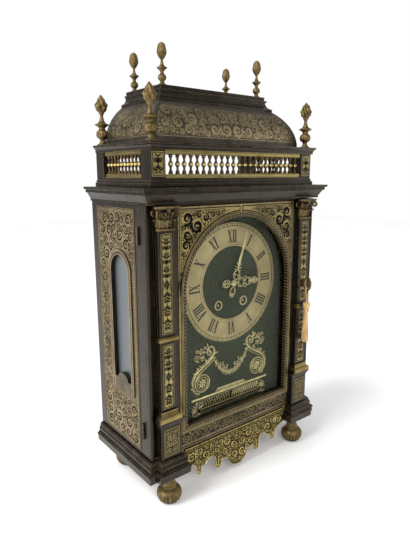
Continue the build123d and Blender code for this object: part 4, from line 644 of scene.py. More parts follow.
class Ornament:
    """Ribbons on a flat field; height 0 keeps them flat, more gives a rounded ridge."""

    def __init__(self, height=0.0, rest=0.12):
        self.piece = Piece()
        self.height = height
        self.rest = rest

    def lay(self, rows, columns, closed, mirrored):
        """Adds rows of points, and where asked their mirror image in x."""
        points = np.concatenate(rows)
        faces = grid_faces(len(rows), columns, closed)
        self.piece.add(points, faces)
        if mirrored:
            self.piece.add(points * (-1, 1, 1), [tuple(reversed(face)) for face in faces])

    def ribbon(self, points, widths, mirrored=True):
        p = np.asarray(points, float)
        w = np.broadcast_to(np.asarray(widths, float), len(p))
        along = unit(np.gradient(p, axis=0))
        side = np.stack([-along[:, 1], along[:, 0]], 1)
        if self.height:
            shares = np.array([-1.0, -0.8, -0.35, 0.35, 0.8, 1.0])
            lift = self.rest + self.height * np.array([-0.4, 0.45, 1.0, 1.0, 0.45, -0.4])
            lift[0] = lift[-1] = 0.0
        else:
            shares = np.array([-1.0, 1.0])
            lift = np.full(2, self.rest)
        rows = []
        for i in range(len(p)):
            flat = p[i] + shares[:, None] * w[i] * side[i]
            rise = lift * (min(1.0, 0.35 + w[i] / (w.max() + 1e-9)) if self.height else 1.0)
            rows.append(np.concatenate([flat, rise[:, None]], 1))
        self.lay(rows, len(shares), False, mirrored)

    def dot(self, x, z, radius, mirrored=True):
        turns = full_turn(16)
        rings = ((1.0, 0.0 if self.height else self.rest), (0.6, self.rest + self.height * 0.85),
                 (0.0, self.rest + self.height))
        rows = [np.column_stack([circle(x, z, radius * s, turns), np.full(16, h)]) for s, h in rings]
        self.lay(rows, 16, True, mirrored and abs(x) > 0.01)

    def line(self, points, width, mirrored=False, closed=False):
        """Straight stringing with sharp corners."""
        p = [np.asarray(q, float) for q in points]
        if closed:
            p.append(p[0])
        for a, b in zip(p, p[1:]):
            step = (b - a) / np.linalg.norm(b - a)
            self.ribbon([a - step * width, b + step * width], width, mirrored)

    def border(self, half, low, high, inset, width):
        """Closed stringing inside a rectangle about x = 0."""
        half, low, high = half - inset, low + inset, high - inset
        self.line([(-half, low), (half, low), (half, high), (-half, high)], width, closed=True)

    def leaflet(self, x, z, angle, length, width, mirrored=True, bend=0.25):
        t = np.linspace(0, 1, 7)
        direction = angle + bend * t
        steps = np.stack([np.cos(direction), np.sin(direction)], 1) * length / 6
        p = np.array([x, z]) + np.concatenate([[[0, 0]], np.cumsum(steps[:-1], axis=0)])
        self.ribbon(p, width * np.sin(np.pi * (0.12 + 0.86 * t)) ** 0.8, mirrored)

    def scroll(self, x, z, radius, start, hand, mirrored=True, turns=1.45, weight=0.15, leaves=5):
        """Spiral stem that closes on a flower, with acanthus leaves springing from its back."""
        t = np.linspace(0, 1, 26)
        r = radius * (0.97 - 0.74 * t ** 0.85)
        a = start + hand * 2 * math.pi * turns * t
        p = circle(x, z, r, a)
        self.ribbon(p, radius * weight * (0.45 + 0.75 * np.sin(np.pi * np.minimum(1, t * 1.15 + 0.05))), mirrored)
        self.dot(*p[-1], radius * 0.16, mirrored)
        rich = radius > 4.5
        full = radius * max(1.0, weight / 0.15)
        for k in range(leaves + 3 * rich):
            i = 1 + (2 if rich else 3) * k
            tangent = a[i] + hand * math.pi / 2
            grow = radius * (0.58 - 0.045 * k)
            self.leaflet(*p[i], tangent - hand * 0.8, grow, full * 0.1, mirrored, hand * 1.1)
            self.leaflet(*p[i], tangent - hand * 0.1, grow * 0.8, full * 0.06, mirrored, hand * 0.6)
            self.leaflet(*p[i + 1], tangent + hand * 0.85, grow * 0.62, full * 0.08, mirrored, -hand * 0.5)
        if rich:
            for k in range(5):
                self.leaflet(*p[-1], a[-1] + FIFTH_TURN * k, radius * 0.28, radius * 0.06, mirrored, 0.0)

    def fill(self, field, box, largest, least, mirrored=True, weight=0.15):
        """Packs scrolls of falling size into a field given as its distance from the edge."""
        step = largest / 14
        X, Z = np.meshgrid(np.arange(box[0], box[2], step), np.arange(box[1], box[3], step))
        room = field(X, Z)
        if mirrored:
            room = np.minimum(room, X)
        k = 0
        while k < 900:
            fits = room >= largest
            at = np.argmin(np.where(fits, room, 1e9)) if fits.any() else np.argmax(room)
            r = min(float(room.flat[at]), largest)
            if r < least:
                break
            if r > 0.5 * largest:
                r *= (1.0, 0.74, 0.9, 0.62)[k % 4]
            x, z = float(X.flat[at]), float(Z.flat[at])
            if r > 0.33 * largest:
                self.scroll(x, z, r * 0.98, 2.4 * k + 0.6, 1 if k % 2 else -1, mirrored, 1.45, weight)
            else:
                for n in range(3):
                    self.leaflet(x, z, 2.4 * k + n * 2.1, r * 1.05, r * max(0.3, 1.6 * weight), mirrored)
            room = np.minimum(room, np.hypot(X - x, Z - z) - r)
            k += 1

    def make(self, name, finish, bend, body="case", slot="marquetry"):
        return self.piece.make(name, finish, body, slot, bool(self.height), bend)


def boxed(x0, z0, x1, z1):
    """Distance from the edge of a rectangle, positive inside."""
    return lambda X, Z: np.minimum(np.minimum(X - x0, x1 - X), np.minimum(Z - z0, z1 - Z))


def arch_distance(X, Z, half, low, centre):
    """Distance outside a round-headed opening, positive outside it."""
    above = np.hypot(X, Z - centre) - half
    beside = np.maximum(np.abs(X) - half, low - Z)
    return np.where(Z > centre, above, beside)


def on_front(y, x=0.0):
    """Lays an ornament on an upright face that looks forward."""
    return lambda p: np.stack([p[:, 0] + x, y - p[:, 2], p[:, 1]], 1)


# Shell arabesques on the door's brass field, split by the arch

def spandrel(X, Z):
    inside = np.minimum(105.0 - X, 407.6 - Z)
    return np.minimum(inside, arch_distance(X, Z, ARCH_HALF, ARCH_LOW, DIAL_Z) - 4.2)


door_shell = Ornament()
door_shell.fill(lambda X, Z: np.minimum(spandrel(X, Z), Z - 299.0), (0, 299, 109, 411), 9.5, 0.8, True, 0.23)
for inset, width, stop in ((0.8, 0.8, 2.6), (3.4, 0.5, 31.0)):
    reach = 107.4 + inset
    turn = np.linspace(0, math.acos(stop / reach), 49)
    arc = circle(0, DIAL_Z, reach, turn)
    edge, top = FIELD_X - inset, FIELD_TOP - inset
    door_shell.line([(edge, 302.0), (edge, top), (stop, top), arc[-1]], width, True)
    door_shell.ribbon(arc, width)
door_shell.make("door_field_shell", "shell", on_front(FIELD_Y), "front_door")
rail_ground = Ornament(rest=0.08)
rail_ground.line([(-FIELD_X, 87.3), (FIELD_X, 87.3)], 11.1)
rail_ground.make("door_rail_shell", "shell", on_front(FIELD_Y), "front_door")
rail_figure = Ornament(rest=0.16)
rail_figure.fill(boxed(-200.0, 80.0, 106.5, 94.8), (0, 80, 108, 95), 6.4, 1.5, True, 0.09)
for z, width in ((77.4, 0.5), (79.0, 0.25), (95.6, 0.25), (97.2, 0.5)):
    rail_figure.line([(0.5 - FIELD_X, z), (FIELD_X - 0.5, z)], width)
rail_figure.make("door_rail_brass", "ground", on_front(FIELD_Y), "front_door")

# Panels of the pilasters: shell candelabra in a brass ground, with border lines
for number, (low, high) in enumerate(((146.5, 236.0), (251.0, 382.0))):
    for hand, side_name in SIDES:
        panel = Ornament(rest=0.1)
        for inset in (0.9, 2.2):
            panel.border(8.5, low, high, inset, 0.42)
        middle = (low + high) / 2
        count = 2 + number
        pitch = (high - low - 24) / 2 / count
        panel.line([(0, middle - 6.0), (5.0, middle), (0, middle + 6.0)], 0.6, True)
        panel.line([(0, middle - 3.4), (2.7, middle), (0, middle + 3.4)], 0.75, True)
        panel.dot(0, middle, 1.1)
        for up in (-1, 1):
            for i in range(count):
                z = middle + up * (7.5 + (i + 0.5) * pitch)
                panel.scroll(3.2, z - up * pitch * 0.2, 2.9, up * 1.2 + 1.6, up, True, 1.2, 0.26, 3)
                panel.scroll(2.7, z + up * pitch * 0.2, 2.4, -up * 1.2 + 1.6, -up, True, 1.2, 0.26, 3)
                panel.leaflet(0.4, z - up * pitch * 0.4, up * 1.2, pitch * 0.36, 1.1)
                panel.leaflet(0.0, z, up * 0.5, 5.4, 1.1)
                panel.leaflet(0.0, z + up * pitch * 0.3, up * 0.4, 4.6, 0.9)
                panel.dot(0, z + up * pitch * 0.5, 1.0)
            panel.leaflet(5.4, middle + up * 2.4, up * 1.35, 5.0, 0.8)
            panel.leaflet(1.6, middle + up * ((high - low) / 2 - 6.0), up * 0.2, 3.8, 0.8)
        panel.line([(0, low + 4.0), (0, high - 4.0)], 0.3)
        panel.make(f"pilaster_panel_{side_name}_{number}", "shell", on_front(FACE - 6.5, hand * PILASTER_X),
                   "front_door")
for hand, side_name in SIDES:
    bend = on_front(FACE - 8.5, hand * PEDESTAL_X)
    ground = Ornament(rest=0.08)
    ground.ribbon([(0, 76.7), (0, 117.3)], 13.0, False)
    ground.make(f"pedestal_shell_{side_name}", "shell", bend, "front_door")
    figure = Ornament(rest=0.16)
    for inset, width in ((1.0, 0.3), (2.6, 0.2)):
        figure.border(13.0, 76.6, 117.4, inset, width)
    figure.fill(boxed(-20.0, 80.6, 9.6, 113.4), (0, 80, 10, 114), 4.7, 0.6, True, 0.16)
    figure.make(f"pedestal_brass_{side_name}", "ground", bend, "front_door")

# Arabesques on the brass veneer of both sides, round the windows
side_y = FACE + 77.25
window_shift = WINDOW_Y - side_y


def side_room(X, Z):
    inside = boxed(-47.0, 82.0, 47.0, 408.0)(X, Z)
    return np.minimum(inside, arch_distance(X - window_shift, Z, 32.5, 147.5, WINDOW_Z))


def on_side(hand):
    return lambda p: np.stack([hand * (SIDE_X + p[:, 2]), side_y + p[:, 0], p[:, 1]], 1)


for hand, side_name in SIDES:
    side = Ornament()
    side.fill(side_room, (-48, 82, 48, 408), 9.5, 0.7, False, 0.12)
    for inset, width in ((1.2, 0.5), (3.0, 0.28)):
        side.border(51.25, 78, 412, inset, width)
    # Dark line round each window opening: painted shadow of the gap round the proud frame.
    reach = 31.4
    side.ribbon(circle(window_shift, WINDOW_Z, reach, np.linspace(0, math.pi, 33)), 0.5, False)
    left, right = window_shift - reach, window_shift + reach
    side.line([(left, WINDOW_Z), (left, 148.8), (right, 148.8), (right, WINDOW_Z)], 0.5)
    side.make(f"side_shell_{side_name}", "side_figure", on_side(hand))

# Brass arabesques on the dome, whose flanks bow out by sag over their chord
dome_low = 500.5
dome_run = 28.3
dome_rise = 48.0
sag = 5.8
bow_half = math.atan2(dome_run, dome_rise)
chord = math.hypot(dome_run, dome_rise)
bow_radius = (chord ** 2 / 4 + sag ** 2) / (2 * sag)
bow_turn = 2 * math.asin(chord / 2 / bow_radius)
flank = bow_radius * bow_turn
lean = bow_half - bow_turn / 2


def dome_at(v, h):
    """Inset and height of a point on the bowed flank, v along it and h proud of it."""
    v = np.clip(v, -6.0, flank)
    a = lean + np.maximum(v, 0) / bow_radius
    inset = bow_radius * (math.cos(lean) - np.cos(a))
    rise = bow_radius * (np.sin(a) - math.sin(lean))
    return inset - h * np.cos(a), dome_low + np.where(v < 0, v, rise) + h * np.sin(a)


def on_dome_front(p):
    inset, z = dome_at(p[:, 1], p[:, 2])
    return np.stack([p[:, 0], DOME_Y + inset, z], 1)


def on_dome_side(hand):
    def laid(p):
        inset, z = dome_at(p[:, 1], p[:, 2])
        return np.stack([hand * (DOME_X - inset), (DOME_Y + BACK) / 2 + p[:, 0], z], 1)
    return laid


def dome_room(Z, beside):
    """Distance from the dome's borders; beside is the distance from its hips."""
    return np.minimum(np.minimum(Z - 3.5, 50.5 - Z), beside)


def dome_edge(v):
    return dome_at(v, 0 * v)[0]


front_scrolls = Ornament()
front_scrolls.fill(lambda X, Z: dome_room(Z, (DOME_X - dome_edge(Z) - 4.0 - X) * 0.9),
                   (0, 3, 132, 51), 10.5, 0.7, True, 0.2)
front_scrolls.ribbon([(-128, 2.4), (-60, 2.4), (0, 2.4), (60, 2.4), (128, 2.4)], 0.45, False)
front_scrolls.make("dome_front_brass", "dome_inlay", on_dome_front)
deep = (BACK - DOME_Y) / 2
for hand, side_name in SIDES:
    flank_scrolls = Ornament()
    flank_scrolls.fill(lambda X, Z: dome_room(Z, np.minimum(deep - 4 - X, X + deep - 4 - dome_edge(Z))),
                       (-deep, 3, deep, 51), 10.5, 0.7, False, 0.2)
    flank_scrolls.ribbon([(-deep + 5, 2.4), (0, 2.4), (deep - 3, 2.4)], 0.45, False)
    flank_scrolls.make(f"dome_side_brass_{side_name}", "dome_inlay", on_dome_side(hand))

# Brass panels let into the fronts of the gallery posts
for hand, side_name in SIDES:
    bend = on_front(FACE + 1.0, hand * 137.5)
    ground = Ornament(rest=0.2)
    ground.ribbon([(0, 452.0), (0, 482.5)], 9.3, False)
    ground.make(f"post_ground_{side_name}", "ground", bend)
    figure = Ornament(rest=0.4)
    figure.border(7.6, 453.6, 480.9, 0.0, 0.5)
    for up in (-1, 1):
        figure.scroll(3.3, GALLERY_Z + up * 5.2, 3.1, up * 1.2 + 1.6, up, True, 1.2, 0.28, 3)
        figure.leaflet(0, GALLERY_Z + up * 9.2, up * 0.5, 5.6, 1.0)
        figure.leaflet(0, GALLERY_Z, up * 1.35, 9.5, 1.1)
    figure.make(f"post_figure_{side_name}", "shell", bend)

# Turned balusters, waisted between a bead in the middle and the rails
half_baluster = [(0.0, 0.95), (0.05, 0.95), (0.065, 0.66), (0.09, 0.86), (0.13, 0.78), (0.2, 0.5), (0.28, 0.42),
                 (0.35, 0.5), (0.385, 0.7), (0.405, 0.62), (0.42, 0.86), (0.45, 0.98), (0.5, 1.0)]
whole_baluster = half_baluster + [(1 - t, r) for t, r in reversed(half_baluster[:-1])]
bay = 126.5
bay_front, bay_back = FACE + 23.0, BACK - 22.0
places = [(-bay + (i + 1) * 2 * bay / 24, GALLERY_Y) for i in range(23)]
places += [(hand * 144.25, bay_front + (i + 1) * (bay_back - bay_front) / 11) for hand in (-1, 1)
           for i in range(10)]
profile = stretched_shape(whole_baluster, 3.3, 455.0, 24.5)
turned_set("turned_balusters", "baluster", "balusters", profile, places, 16)

# Feet: a flattened ball with gadroons below its equator


def gadroons(angles, share, radius):
    below = np.clip((0.4 - share) / 0.1, 0, 1) * np.clip(share / 0.03, 0, 1)
    return radius * (1 + below * 0.15 * (np.abs(np.cos(angles * 9)) ** 0.6 - 0.85))


foot_profile = [(9.5, 0.0), (12.0, 1.3), (13.8, 3.2), (15.3, 5.4), (16.5, 8.0), (17.3, 10.6), (17.6, 13.0),
                (17.6, 15.2), (17.0, 17.4), (15.6, 19.4), (13.6, 21.2), (11.4, 22.6), (10.0, 23.8), (9.3, 24.9),
                (9.9, 26.2), (9.9, 27.4), (9.0, 28.6), (8.4, 31.0), (8.3, 34.5), (8.8, 38.2), (10.0, 40.8),
                (11.0, 42.2), (11.0, 44.4)]
places = [(x, y) for x in (-129.0, 129.0) for y in (FACE + 3.0, BACK - 22.0)]
turned_set("gadrooned_feet", "dark_gilt", "bun_feet", foot_profile, places, 180, gadroons)

# Flame finials: knurled bulb, sharp disc, stem and a twisted flame


def flame_wave(angles, share, radius):
    bulb = np.exp(-((share - 0.22) / 0.05) ** 2)
    fire = np.clip((share - 0.64) / 0.06, 0, 1)
    ribs = bulb * 0.05 * np.cos(angles * 12)
    licks = fire * (0.2 * np.cos(angles * 6 + share * 20) + 0.14 * np.cos(angles * 4 - share * 44))
    return radius * (1 + ribs + licks)


flame_shape = [(0, 0.75), (0.025, 0.76), (0.035, 0.55), (0.06, 0.42), (0.1, 0.33), (0.13, 0.42), (0.15, 0.68),
               (0.18, 0.8), (0.22, 0.83), (0.26, 0.8), (0.29, 0.72), (0.3, 0.55), (0.335, 0.42), (0.36, 0.5),
               (0.39, 0.8), (0.405, 1.0), (0.42, 1.0), (0.43, 0.8), (0.45, 0.55), (0.5, 0.33), (0.57, 0.24),
               (0.62, 0.27), (0.64, 0.44), (0.655, 0.38), (0.68, 0.54), (0.72, 0.68), (0.76, 0.75), (0.8, 0.74),
               (0.84, 0.68), (0.88, 0.55), (0.92, 0.42), (0.96, 0.24), (1.0, 0.05)]
places = [(x, y) for x in (-142.5, 142.5) for y in (FACE + 8.5, BACK - 10.0)]
profile = stretched_shape(flame_shape, 9.8, 494.5, 68.0)
turned_set("twisted_flames", "dark_gilt", "flame_finials", profile, places, 60, flame_wave)

# Cone finials: ball, baluster disc, stem and a scaled egg


def cone_wave(angles, share, radius):
    egg = np.clip((share - 0.64) / 0.04, 0, 1) * np.clip((1.0 - share) / 0.03, 0, 1)
    scales = np.cos(angles * 7 + share * 62) * np.cos(angles * 7 - share * 62)
    ball = np.exp(-((share - 0.17) / 0.045) ** 2)
    return radius * (1 + egg * 0.09 * scales + ball * 0.05 * np.cos(angles * 10))


cone_shape = [(0, 0.75), (0.03, 0.75), (0.045, 0.5), (0.08, 0.4), (0.11, 0.5), (0.14, 0.74), (0.17, 0.8),
              (0.2, 0.8), (0.24, 0.72), (0.26, 0.45), (0.3, 0.34), (0.33, 0.4), (0.36, 0.62), (0.38, 0.7),
              (0.4, 1.0), (0.42, 1.0), (0.435, 0.72), (0.46, 0.5), (0.5, 0.32), (0.56, 0.24), (0.6, 0.25),
              (0.62, 0.42), (0.65, 0.58), (0.68, 0.74), (0.72, 0.84), (0.76, 0.9), (0.8, 0.92), (0.84, 0.9),
              (0.88, 0.83), (0.92, 0.72), (0.96, 0.54), (0.985, 0.36), (1.0, 0.12)]
places = [(x, y) for x in (-87.5, 87.5) for y in (DOME_Y + dome_run + 17.7, BACK - 9.0)]
profile = stretched_shape(cone_shape, 6.79, 571.0, 54.0)
turned_set("scaled_cones", "dark_gilt", "cone_finials", profile, places, 56, cone_wave)

# Capitals: two rows of acanthus leaves, corner volutes and a moulded top
capitals = Piece()
blocks = ((385.5, 388.0, 12.6, 13.2, 7.2, 7.8), (388.0, 411.0, 11.4, 14.5, 6.2, 9.5),
          (412.2, 413.6, 16.2, 16.2, 12.6, 12.6), (413.6, 416.4, 17.4, 17.4, 13.9, 13.9))


def acanthus(foot, outward, tall, wide, curl):
    outward = np.asarray(outward, float) / np.linalg.norm(outward)
    line = [np.asarray(foot, float) + outward * out + (0, 0, tall * up)
            for out, up in ((0.0, 0.0), (1.0, 0.35), (curl * 0.35, 0.72), (curl * 0.8, 0.98), (curl * 1.15, 0.93),
                            (curl * 1.15, 0.8))]
    t = np.linspace(0, 1, 25)
    widths = wide * (0.55 + 0.6 * np.sin(np.pi * np.clip(t * 0.95, 0, 1)) ** 0.7) * (1 - 0.5 * t ** 3)
    leaf(capitals, smooth_line(line, 25), np.cross((0, 0, 1), outward), widths, 1.0, 4)


def volute(base, centre, direction):
    spin = np.linspace(0, 1, 26)
    flat = circle(0, 0, 4.4 * (1 - 0.8 * spin), math.pi * (0.65 - spin * 3.6))
    curl = centre + flat[:, :1] * direction + flat[:, 1:] * np.array([0, 0, 1.0])
    lead = smooth_line([base, base + (0, 0, 6.0) + direction * 1.5, curl[0]], 8)[:-1]
    tube(capitals, np.concatenate([lead, curl]), np.concatenate([np.full(7, 1.0), 1.25 * (1 - 0.45 * spin)]))


for hand in (-1, 1):
    cx = hand * PILASTER_X
    for low, high, half0, half1, out0, out1 in blocks:
        ring = []
        for z, half, out in ((low, half0, out0), (high, half1, out1)):
            back, front = FACE - 0.1, FACE - out
            ring += [(cx - half, back, z), (cx - half, front, z), (cx + half, front, z), (cx + half, back, z)]
        capitals.add(ring, [(0, 1, 5, 4), (1, 2, 6, 5), (2, 3, 7, 6), (3, 0, 4, 7), (3, 2, 1, 0), (4, 5, 6, 7)])
    for dx in (-7.8, 0.0, 7.8):
        acanthus((cx + dx, FACE - 6.8, 387.4), (dx * 0.03, -1, 0), 12.5, 3.9, 5.4)
    for side in (-1, 1):
        acanthus((cx + side * 12.2, FACE - 3.4, 387.4), (side, 0, 0), 12.5, 3.1, 2.8)
        acanthus((cx + side * 11.6, FACE - 6.6, 387.6), (side * 0.7, -0.7, 0), 13.5, 2.8, 4.0)
    for dx in (-4.0, 4.0):
        acanthus((cx + dx, FACE - 6.8, 393.0), (dx * 0.04, -1, 0), 16.0, 3.6, 6.2)
    for side in (-1, 1):
        acanthus((cx + side * 10.2, FACE - 6.6, 394.0), (side * 0.55, -0.8, 0), 14.0, 2.7, 5.0)
        for base_x, base_y, centre_y, way in ((6.0, 8.0, 11.2, (side * 0.72, -0.69, 0.0)),
                                              (11.5, 4.0, 3.5, (side, 0.0, 0.0))):
            volute(np.array([cx + side * base_x, FACE - base_y, 398.0]),
                   np.array([cx + side * 15.2, FACE - centre_y, 407.6]), np.array(way))
    for n in range(6):
        a = n * math.pi / 3
        tip = np.array([cx + 3.0 * math.cos(a), FACE - 13.2, 411.4 + 3.0 * math.sin(a)])
        middle = np.array([cx, FACE - 13.0, 411.4])
        leaf(capitals, smooth_line([middle, (middle + tip) / 2 + (0, -0.7, 0), tip], 7),
             (-math.sin(a), 0, math.cos(a)), 1.2 * np.sin(np.linspace(0.5, math.pi - 0.2, 7)), 0.4)
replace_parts(capitals.make("acanthus_capitals", "old_gilt", "front_door"), "capitals")

# Apron: a thin plate cut to a lobed outline with scrolls and leaves in relief
half_edge = [(0, 6.0), (6, 6.8), (11, 9.0), (15.5, 13.5), (18.5, 20.5), (21, 24.8), (25, 26.0), (30, 26.5),
             (33.5, 25.0), (35.5, 21.0), (36.6, 16.6), (40, 15.6), (43.4, 16.6), (44.5, 24.0), (46.0, 33.0),
             (49, 38.0), (54, 39.6), (58, 38.5), (62, 35.0), (67, 31.8), (71, 31.0), (73.5, 30.0), (74.6, 25.0),
             (75.2, 20.4), (77.5, 19.6), (79.8, 20.4), (80.4, 26.0), (82, 32.5), (86, 37.0), (92, 40.5),
             (98, 43.0), (103.2, 44.2)]
outline = [(-x, z) for x, z in reversed(half_edge[1:])] + half_edge + [(103.2, 69.3), (-103.2, 69.3)]
edge_points = np.array(outline)


def apron_room(X, Z):
    best = np.full(X.shape, 1e9)
    inside = np.zeros(X.shape, bool)
    for (x0, z0), (x1, z1) in zip(edge_points, np.roll(edge_points, -1, axis=0)):
        dx, dz = x1 - x0, z1 - z0
        t = np.clip(((X - x0) * dx + (Z - z0) * dz) / (dx * dx + dz * dz), 0, 1)
        best = np.minimum(best, np.hypot(X - x0 - t * dx, Z - z0 - t * dz))
        crosses = (z0 > Z) != (z1 > Z)
        inside ^= crosses & (X < x0 + (Z - z0) * dx / (dz if dz else 1e-9))
    return np.where(inside, best, -best)


apron_back = FACE + 2.5
plate = Piece()
n = len(outline)
rim = [(x, apron_back - out, z) for out in (0.1, 1.6) for x, z in outline]
plate.add(rim, [tuple(range(n)), tuple(reversed(range(n, 2 * n)))]
          + [(i, n + i, n + (i + 1) % n, (i + 1) % n) for i in range(n)])
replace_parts(plate.make("apron_plate", "bronze", smooth=False), "apron")
relief = Ornament(1.7, 0.05)
relief.ribbon(smooth_line(half_edge, 120) + (0, 1.0), 0.9)
relief.ribbon([(0, 67.8), (50, 67.8), (102.6, 67.8)], 1.1)
relief.ribbon([(0, 64.8), (50, 64.8), (102.6, 64.8)], 0.45)
relief.fill(lambda X, Z: np.minimum(apron_room(X, Z) - 1.8, 64.0 - Z), (0, 5, 103, 65), 9.0, 0.8, True, 0.15)
for x, z in ((40.0, 19.5), (77.5, 23.5)):
    relief.dot(x, z, 2.6)
    relief.leaflet(x, z + 3, 1.57, 8.0, 1.6, True, 0.0)
relief.make("apron_relief", "apron_gilt", on_front(apron_back - 1.6), slot="gilt")

# Dial mount: gadrooned tablet, two S-scrolls round rosettes, sprays and a festoon
mount = Ornament(2.2, 0.1)
rosette = (56, 151)
for radius, width in ((13.2, 1.3), (9.8, 0.8)):
    mount.ribbon(circle(*rosette, radius, np.linspace(0, 2 * math.pi, 60)), width)
for k in range(8):
    a = k * math.pi / 4
    mount.leaflet(rosette[0] + 2 * math.cos(a), rosette[1] + 2 * math.sin(a), a, 6.4, 1.9)
mount.dot(*rosette, 2.6)
arm = smooth_line([(62, 136), (71, 141), (74.5, 152), (71.5, 163), (63, 171), (52, 177), (42, 183), (34.5, 191),
                   (33, 199), (38.5, 204.5), (45, 202), (46.5, 195.5), (42, 192), (38.8, 195.6)], 90)
mount.ribbon(arm, 2.0 * (0.5 + 0.5 * np.sin(np.pi * np.linspace(0.1, 1, 90))))
mount.ribbon(arm[:66] + (1.2, 3.6), 0.6)
mount.ribbon(arm[4:60] + (-2.2, -3.6), 0.7)
mount.dot(41, 197.4, 2.8)
for x, z, a, size in ((66, 168, 0.2, 9), (61, 172, 0.75, 9), (55, 176, 0.4, 8), (48, 181, 1.3, 8),
                      (70, 160, -0.4, 8), (72, 148, -0.3, 6.5), (33, 192, 2.8, 8), (36, 187, 3.6, 8),
                      (46, 202, 0.6, 9), (49, 198, 0.1, 10), (45, 205, 1.2, 7), (52, 193, -0.3, 9),
                      (56, 190, 0.5, 8), (58, 196, 0.9, 7), (62, 186, 0.3, 7)):
    mount.leaflet(x, z, a, size, size * 0.2)
for x, z, radius in ((58.0, 201.0, 5.2), (67.0, 193.0, 4.6), (56.0, 190.0, 3.6), (66.0, 203.0, 3.0)):
    a = np.linspace(0, 2 * math.pi, 41)
    mount.ribbon(circle(x, z, radius * (0.82 + 0.18 * np.cos(5 * a)), a), 0.55)
    for k in range(5):
        mount.leaflet(x, z, FIFTH_TURN * k + 0.3, radius * 0.62, radius * 0.14)
    mount.dot(x, z, radius * 0.2)
for k in range(17):
    s = k / 16
    x = 31.0 * (1 - s)
    z = 155.5 + 24.0 * (1 - s) ** 2.1
    mount.dot(x, z, 1.9 - 0.3 * (1 - s))
    for aim, swing, pace, size, width in ((4.4, 0.6, 2.2, 5.6, 1.0), (1.0, 0.8, 1.7, 5.2, 0.9),
                                          (2.9, 0.9, 2.9, 4.6, 0.8)):
        mount.leaflet(x, z, aim + swing * math.sin(k * pace), size, width)
mount.scroll(9.5, 167.5, 5.2, 0.6, -1, True, 1.0, 0.18, 2)
mount.scroll(19.5, 173.0, 4.4, 2.4, 1, True, 1.0, 0.18, 2)
for low, half, width in ((110.2, 61.0, 0.6), (124.6, 64.0, 0.5)):
    mount.ribbon([(0, low), (half / 2, low), (half, low)], width)
gadroon = smooth_line([(2.6, 111.6), (4.0, 117.5), (7.0, 124.0)], 9)
for k in range(12):
    mount.ribbon(gadroon + (k * 4.6, 0), [0.6, 0.9, 1.15, 1.3, 1.35, 1.3, 1.15, 0.9, 0.6])
for dx, dz, size in ((60.5, 118.0, 7.5), (69.0, 104.5, 6.0)):
    mount.scroll(dx, dz, size, 1.0, -1, True, 1.2, 0.2, 5)
for a in (-0.5, -0.1, 0.35, 0.8):
    mount.leaflet(66, 111, a, 11.0, 2.0)
mount.leaflet(60, 104, -0.3, 14, 2.2)
mount.make("dial_mount_relief", "dial_gilt", on_front(BOARD_Y), slot="gilt")
for name, finish, slabs in (("dial_tablet", "bronze", ((103.5, 129.8, 62.0, 0.7),)),
                            ("dial_ledges", "dial_gilt", ((126.8, 130.4, 77.5, 2.6), (130.4, 132.4, 31.0, 1.8),
                                                          (132.4, 135.2, 27.5, 1.4), (104.4, 106.6, 60.0, 2.2)))):
    tablet = Piece()
    for low, high, half, out in slabs:
        points = [(x, BOARD_Y - y, z) for y, b, t in ((0.05, low, high), (out, low + 0.3, high - 0.3))
                  for x, z in ((-half, b), (half, b), (half, t), (-half, t))]
        tablet.add(points, [(4, 5, 6, 7), (0, 1, 5, 4), (1, 2, 6, 5), (2, 3, 7, 6), (3, 0, 4, 7)])
    tablet.make(name, finish, smooth=False)
collets = Piece()
ring = ((5.25, 0.0), (5.25, 1.2), (5.6, 1.7), (6.3, 1.9), (7.0, 1.5), (7.4, 0.8), (7.5, 0.0))
angles = full_turn(48)
for hand in (-1, 1):
    rows = [np.insert(circle(hand * WINDING_X, WINDING_Z, r, angles), 1, BOARD_Y - h, 1) for r, h in ring]
    collets.add(np.concatenate(rows), grid_faces(len(ring), 48, True))
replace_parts(collets.make("winding_collets", "dial_gilt"), "dial_mounts")


# Hands: pierced scrollwork cut from sheet, seen with its thickness

def hand_ornament(angle, y):
    a = math.radians(angle)
    c, s = math.cos(a), math.sin(a)
    return lambda p: np.stack([p[:, 0] * c + p[:, 1] * s, y - p[:, 2], DIAL_Z - p[:, 0] * s + p[:, 1] * c], 1)


hour = Ornament(0.75, 0.35)
hour.ribbon([(0, -8), (0, 12)], 1.1, False)
hour.ribbon([(0, 30), (0, 52.0)], [1.2, 0.5], False)
for side_x, z0, size in ((4.2, 13.0, 3.2), (5.0, 25.0, 3.9), (2.7, 35.5, 2.5)):
    hour.scroll(side_x, z0, size, -1.4, 1, True, 1.0, 0.11, 2)
for z0 in (19.5, 31.0, 39.5):
    hour.leaflet(0, z0, 0.3, 6.8, 0.55)
lyre = [(0, 8), (5.5, 12), (7.2, 17), (3.0, 21), (1.4, 24), (5.4, 28), (4.4, 32.5), (0, 36)]
hour.ribbon(smooth_line(lyre, 30), 0.75)
for z0, a in ((40, 0.5), (43, 0.2), (36, 0.9)):
    hour.leaflet(0, z0, a, 6.0, 1.0)
for a in (-0.3, 0.5, 1.3):
    hour.leaflet(0, 47, a, 4.6, 0.9)
hour.ribbon(smooth_line([(0, -6), (4.6, -9), (5.2, -14), (0.8, -17.5)], 16), 0.8)
for z0, size in ((-10.0, 5.5), (-15.0, 7.0), (-19.0, 5.0)):
    hour.leaflet(0, z0, -0.5, size, 0.75)
hour.ribbon([(0, -4), (0, -22)], 0.8, False)
hour.dot(0, 0, 4.4, False)
hour.dot(0, -16.5, 1.8, False)
hour_piece = hour.make("pierced_hour_hand", "dial_gilt", hand_ornament(91.5, HAND_Y), "hour_pipe", "gilt")
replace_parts(hour_piece, "hour_hand")
minute = Ornament(0.75, 0.35)
minute.ribbon([(0, 24), (0, 30), (0, 36), (0, 46), (0, 80)], [0.7, 2.3, 2.9, 2.0, 0.45], False)
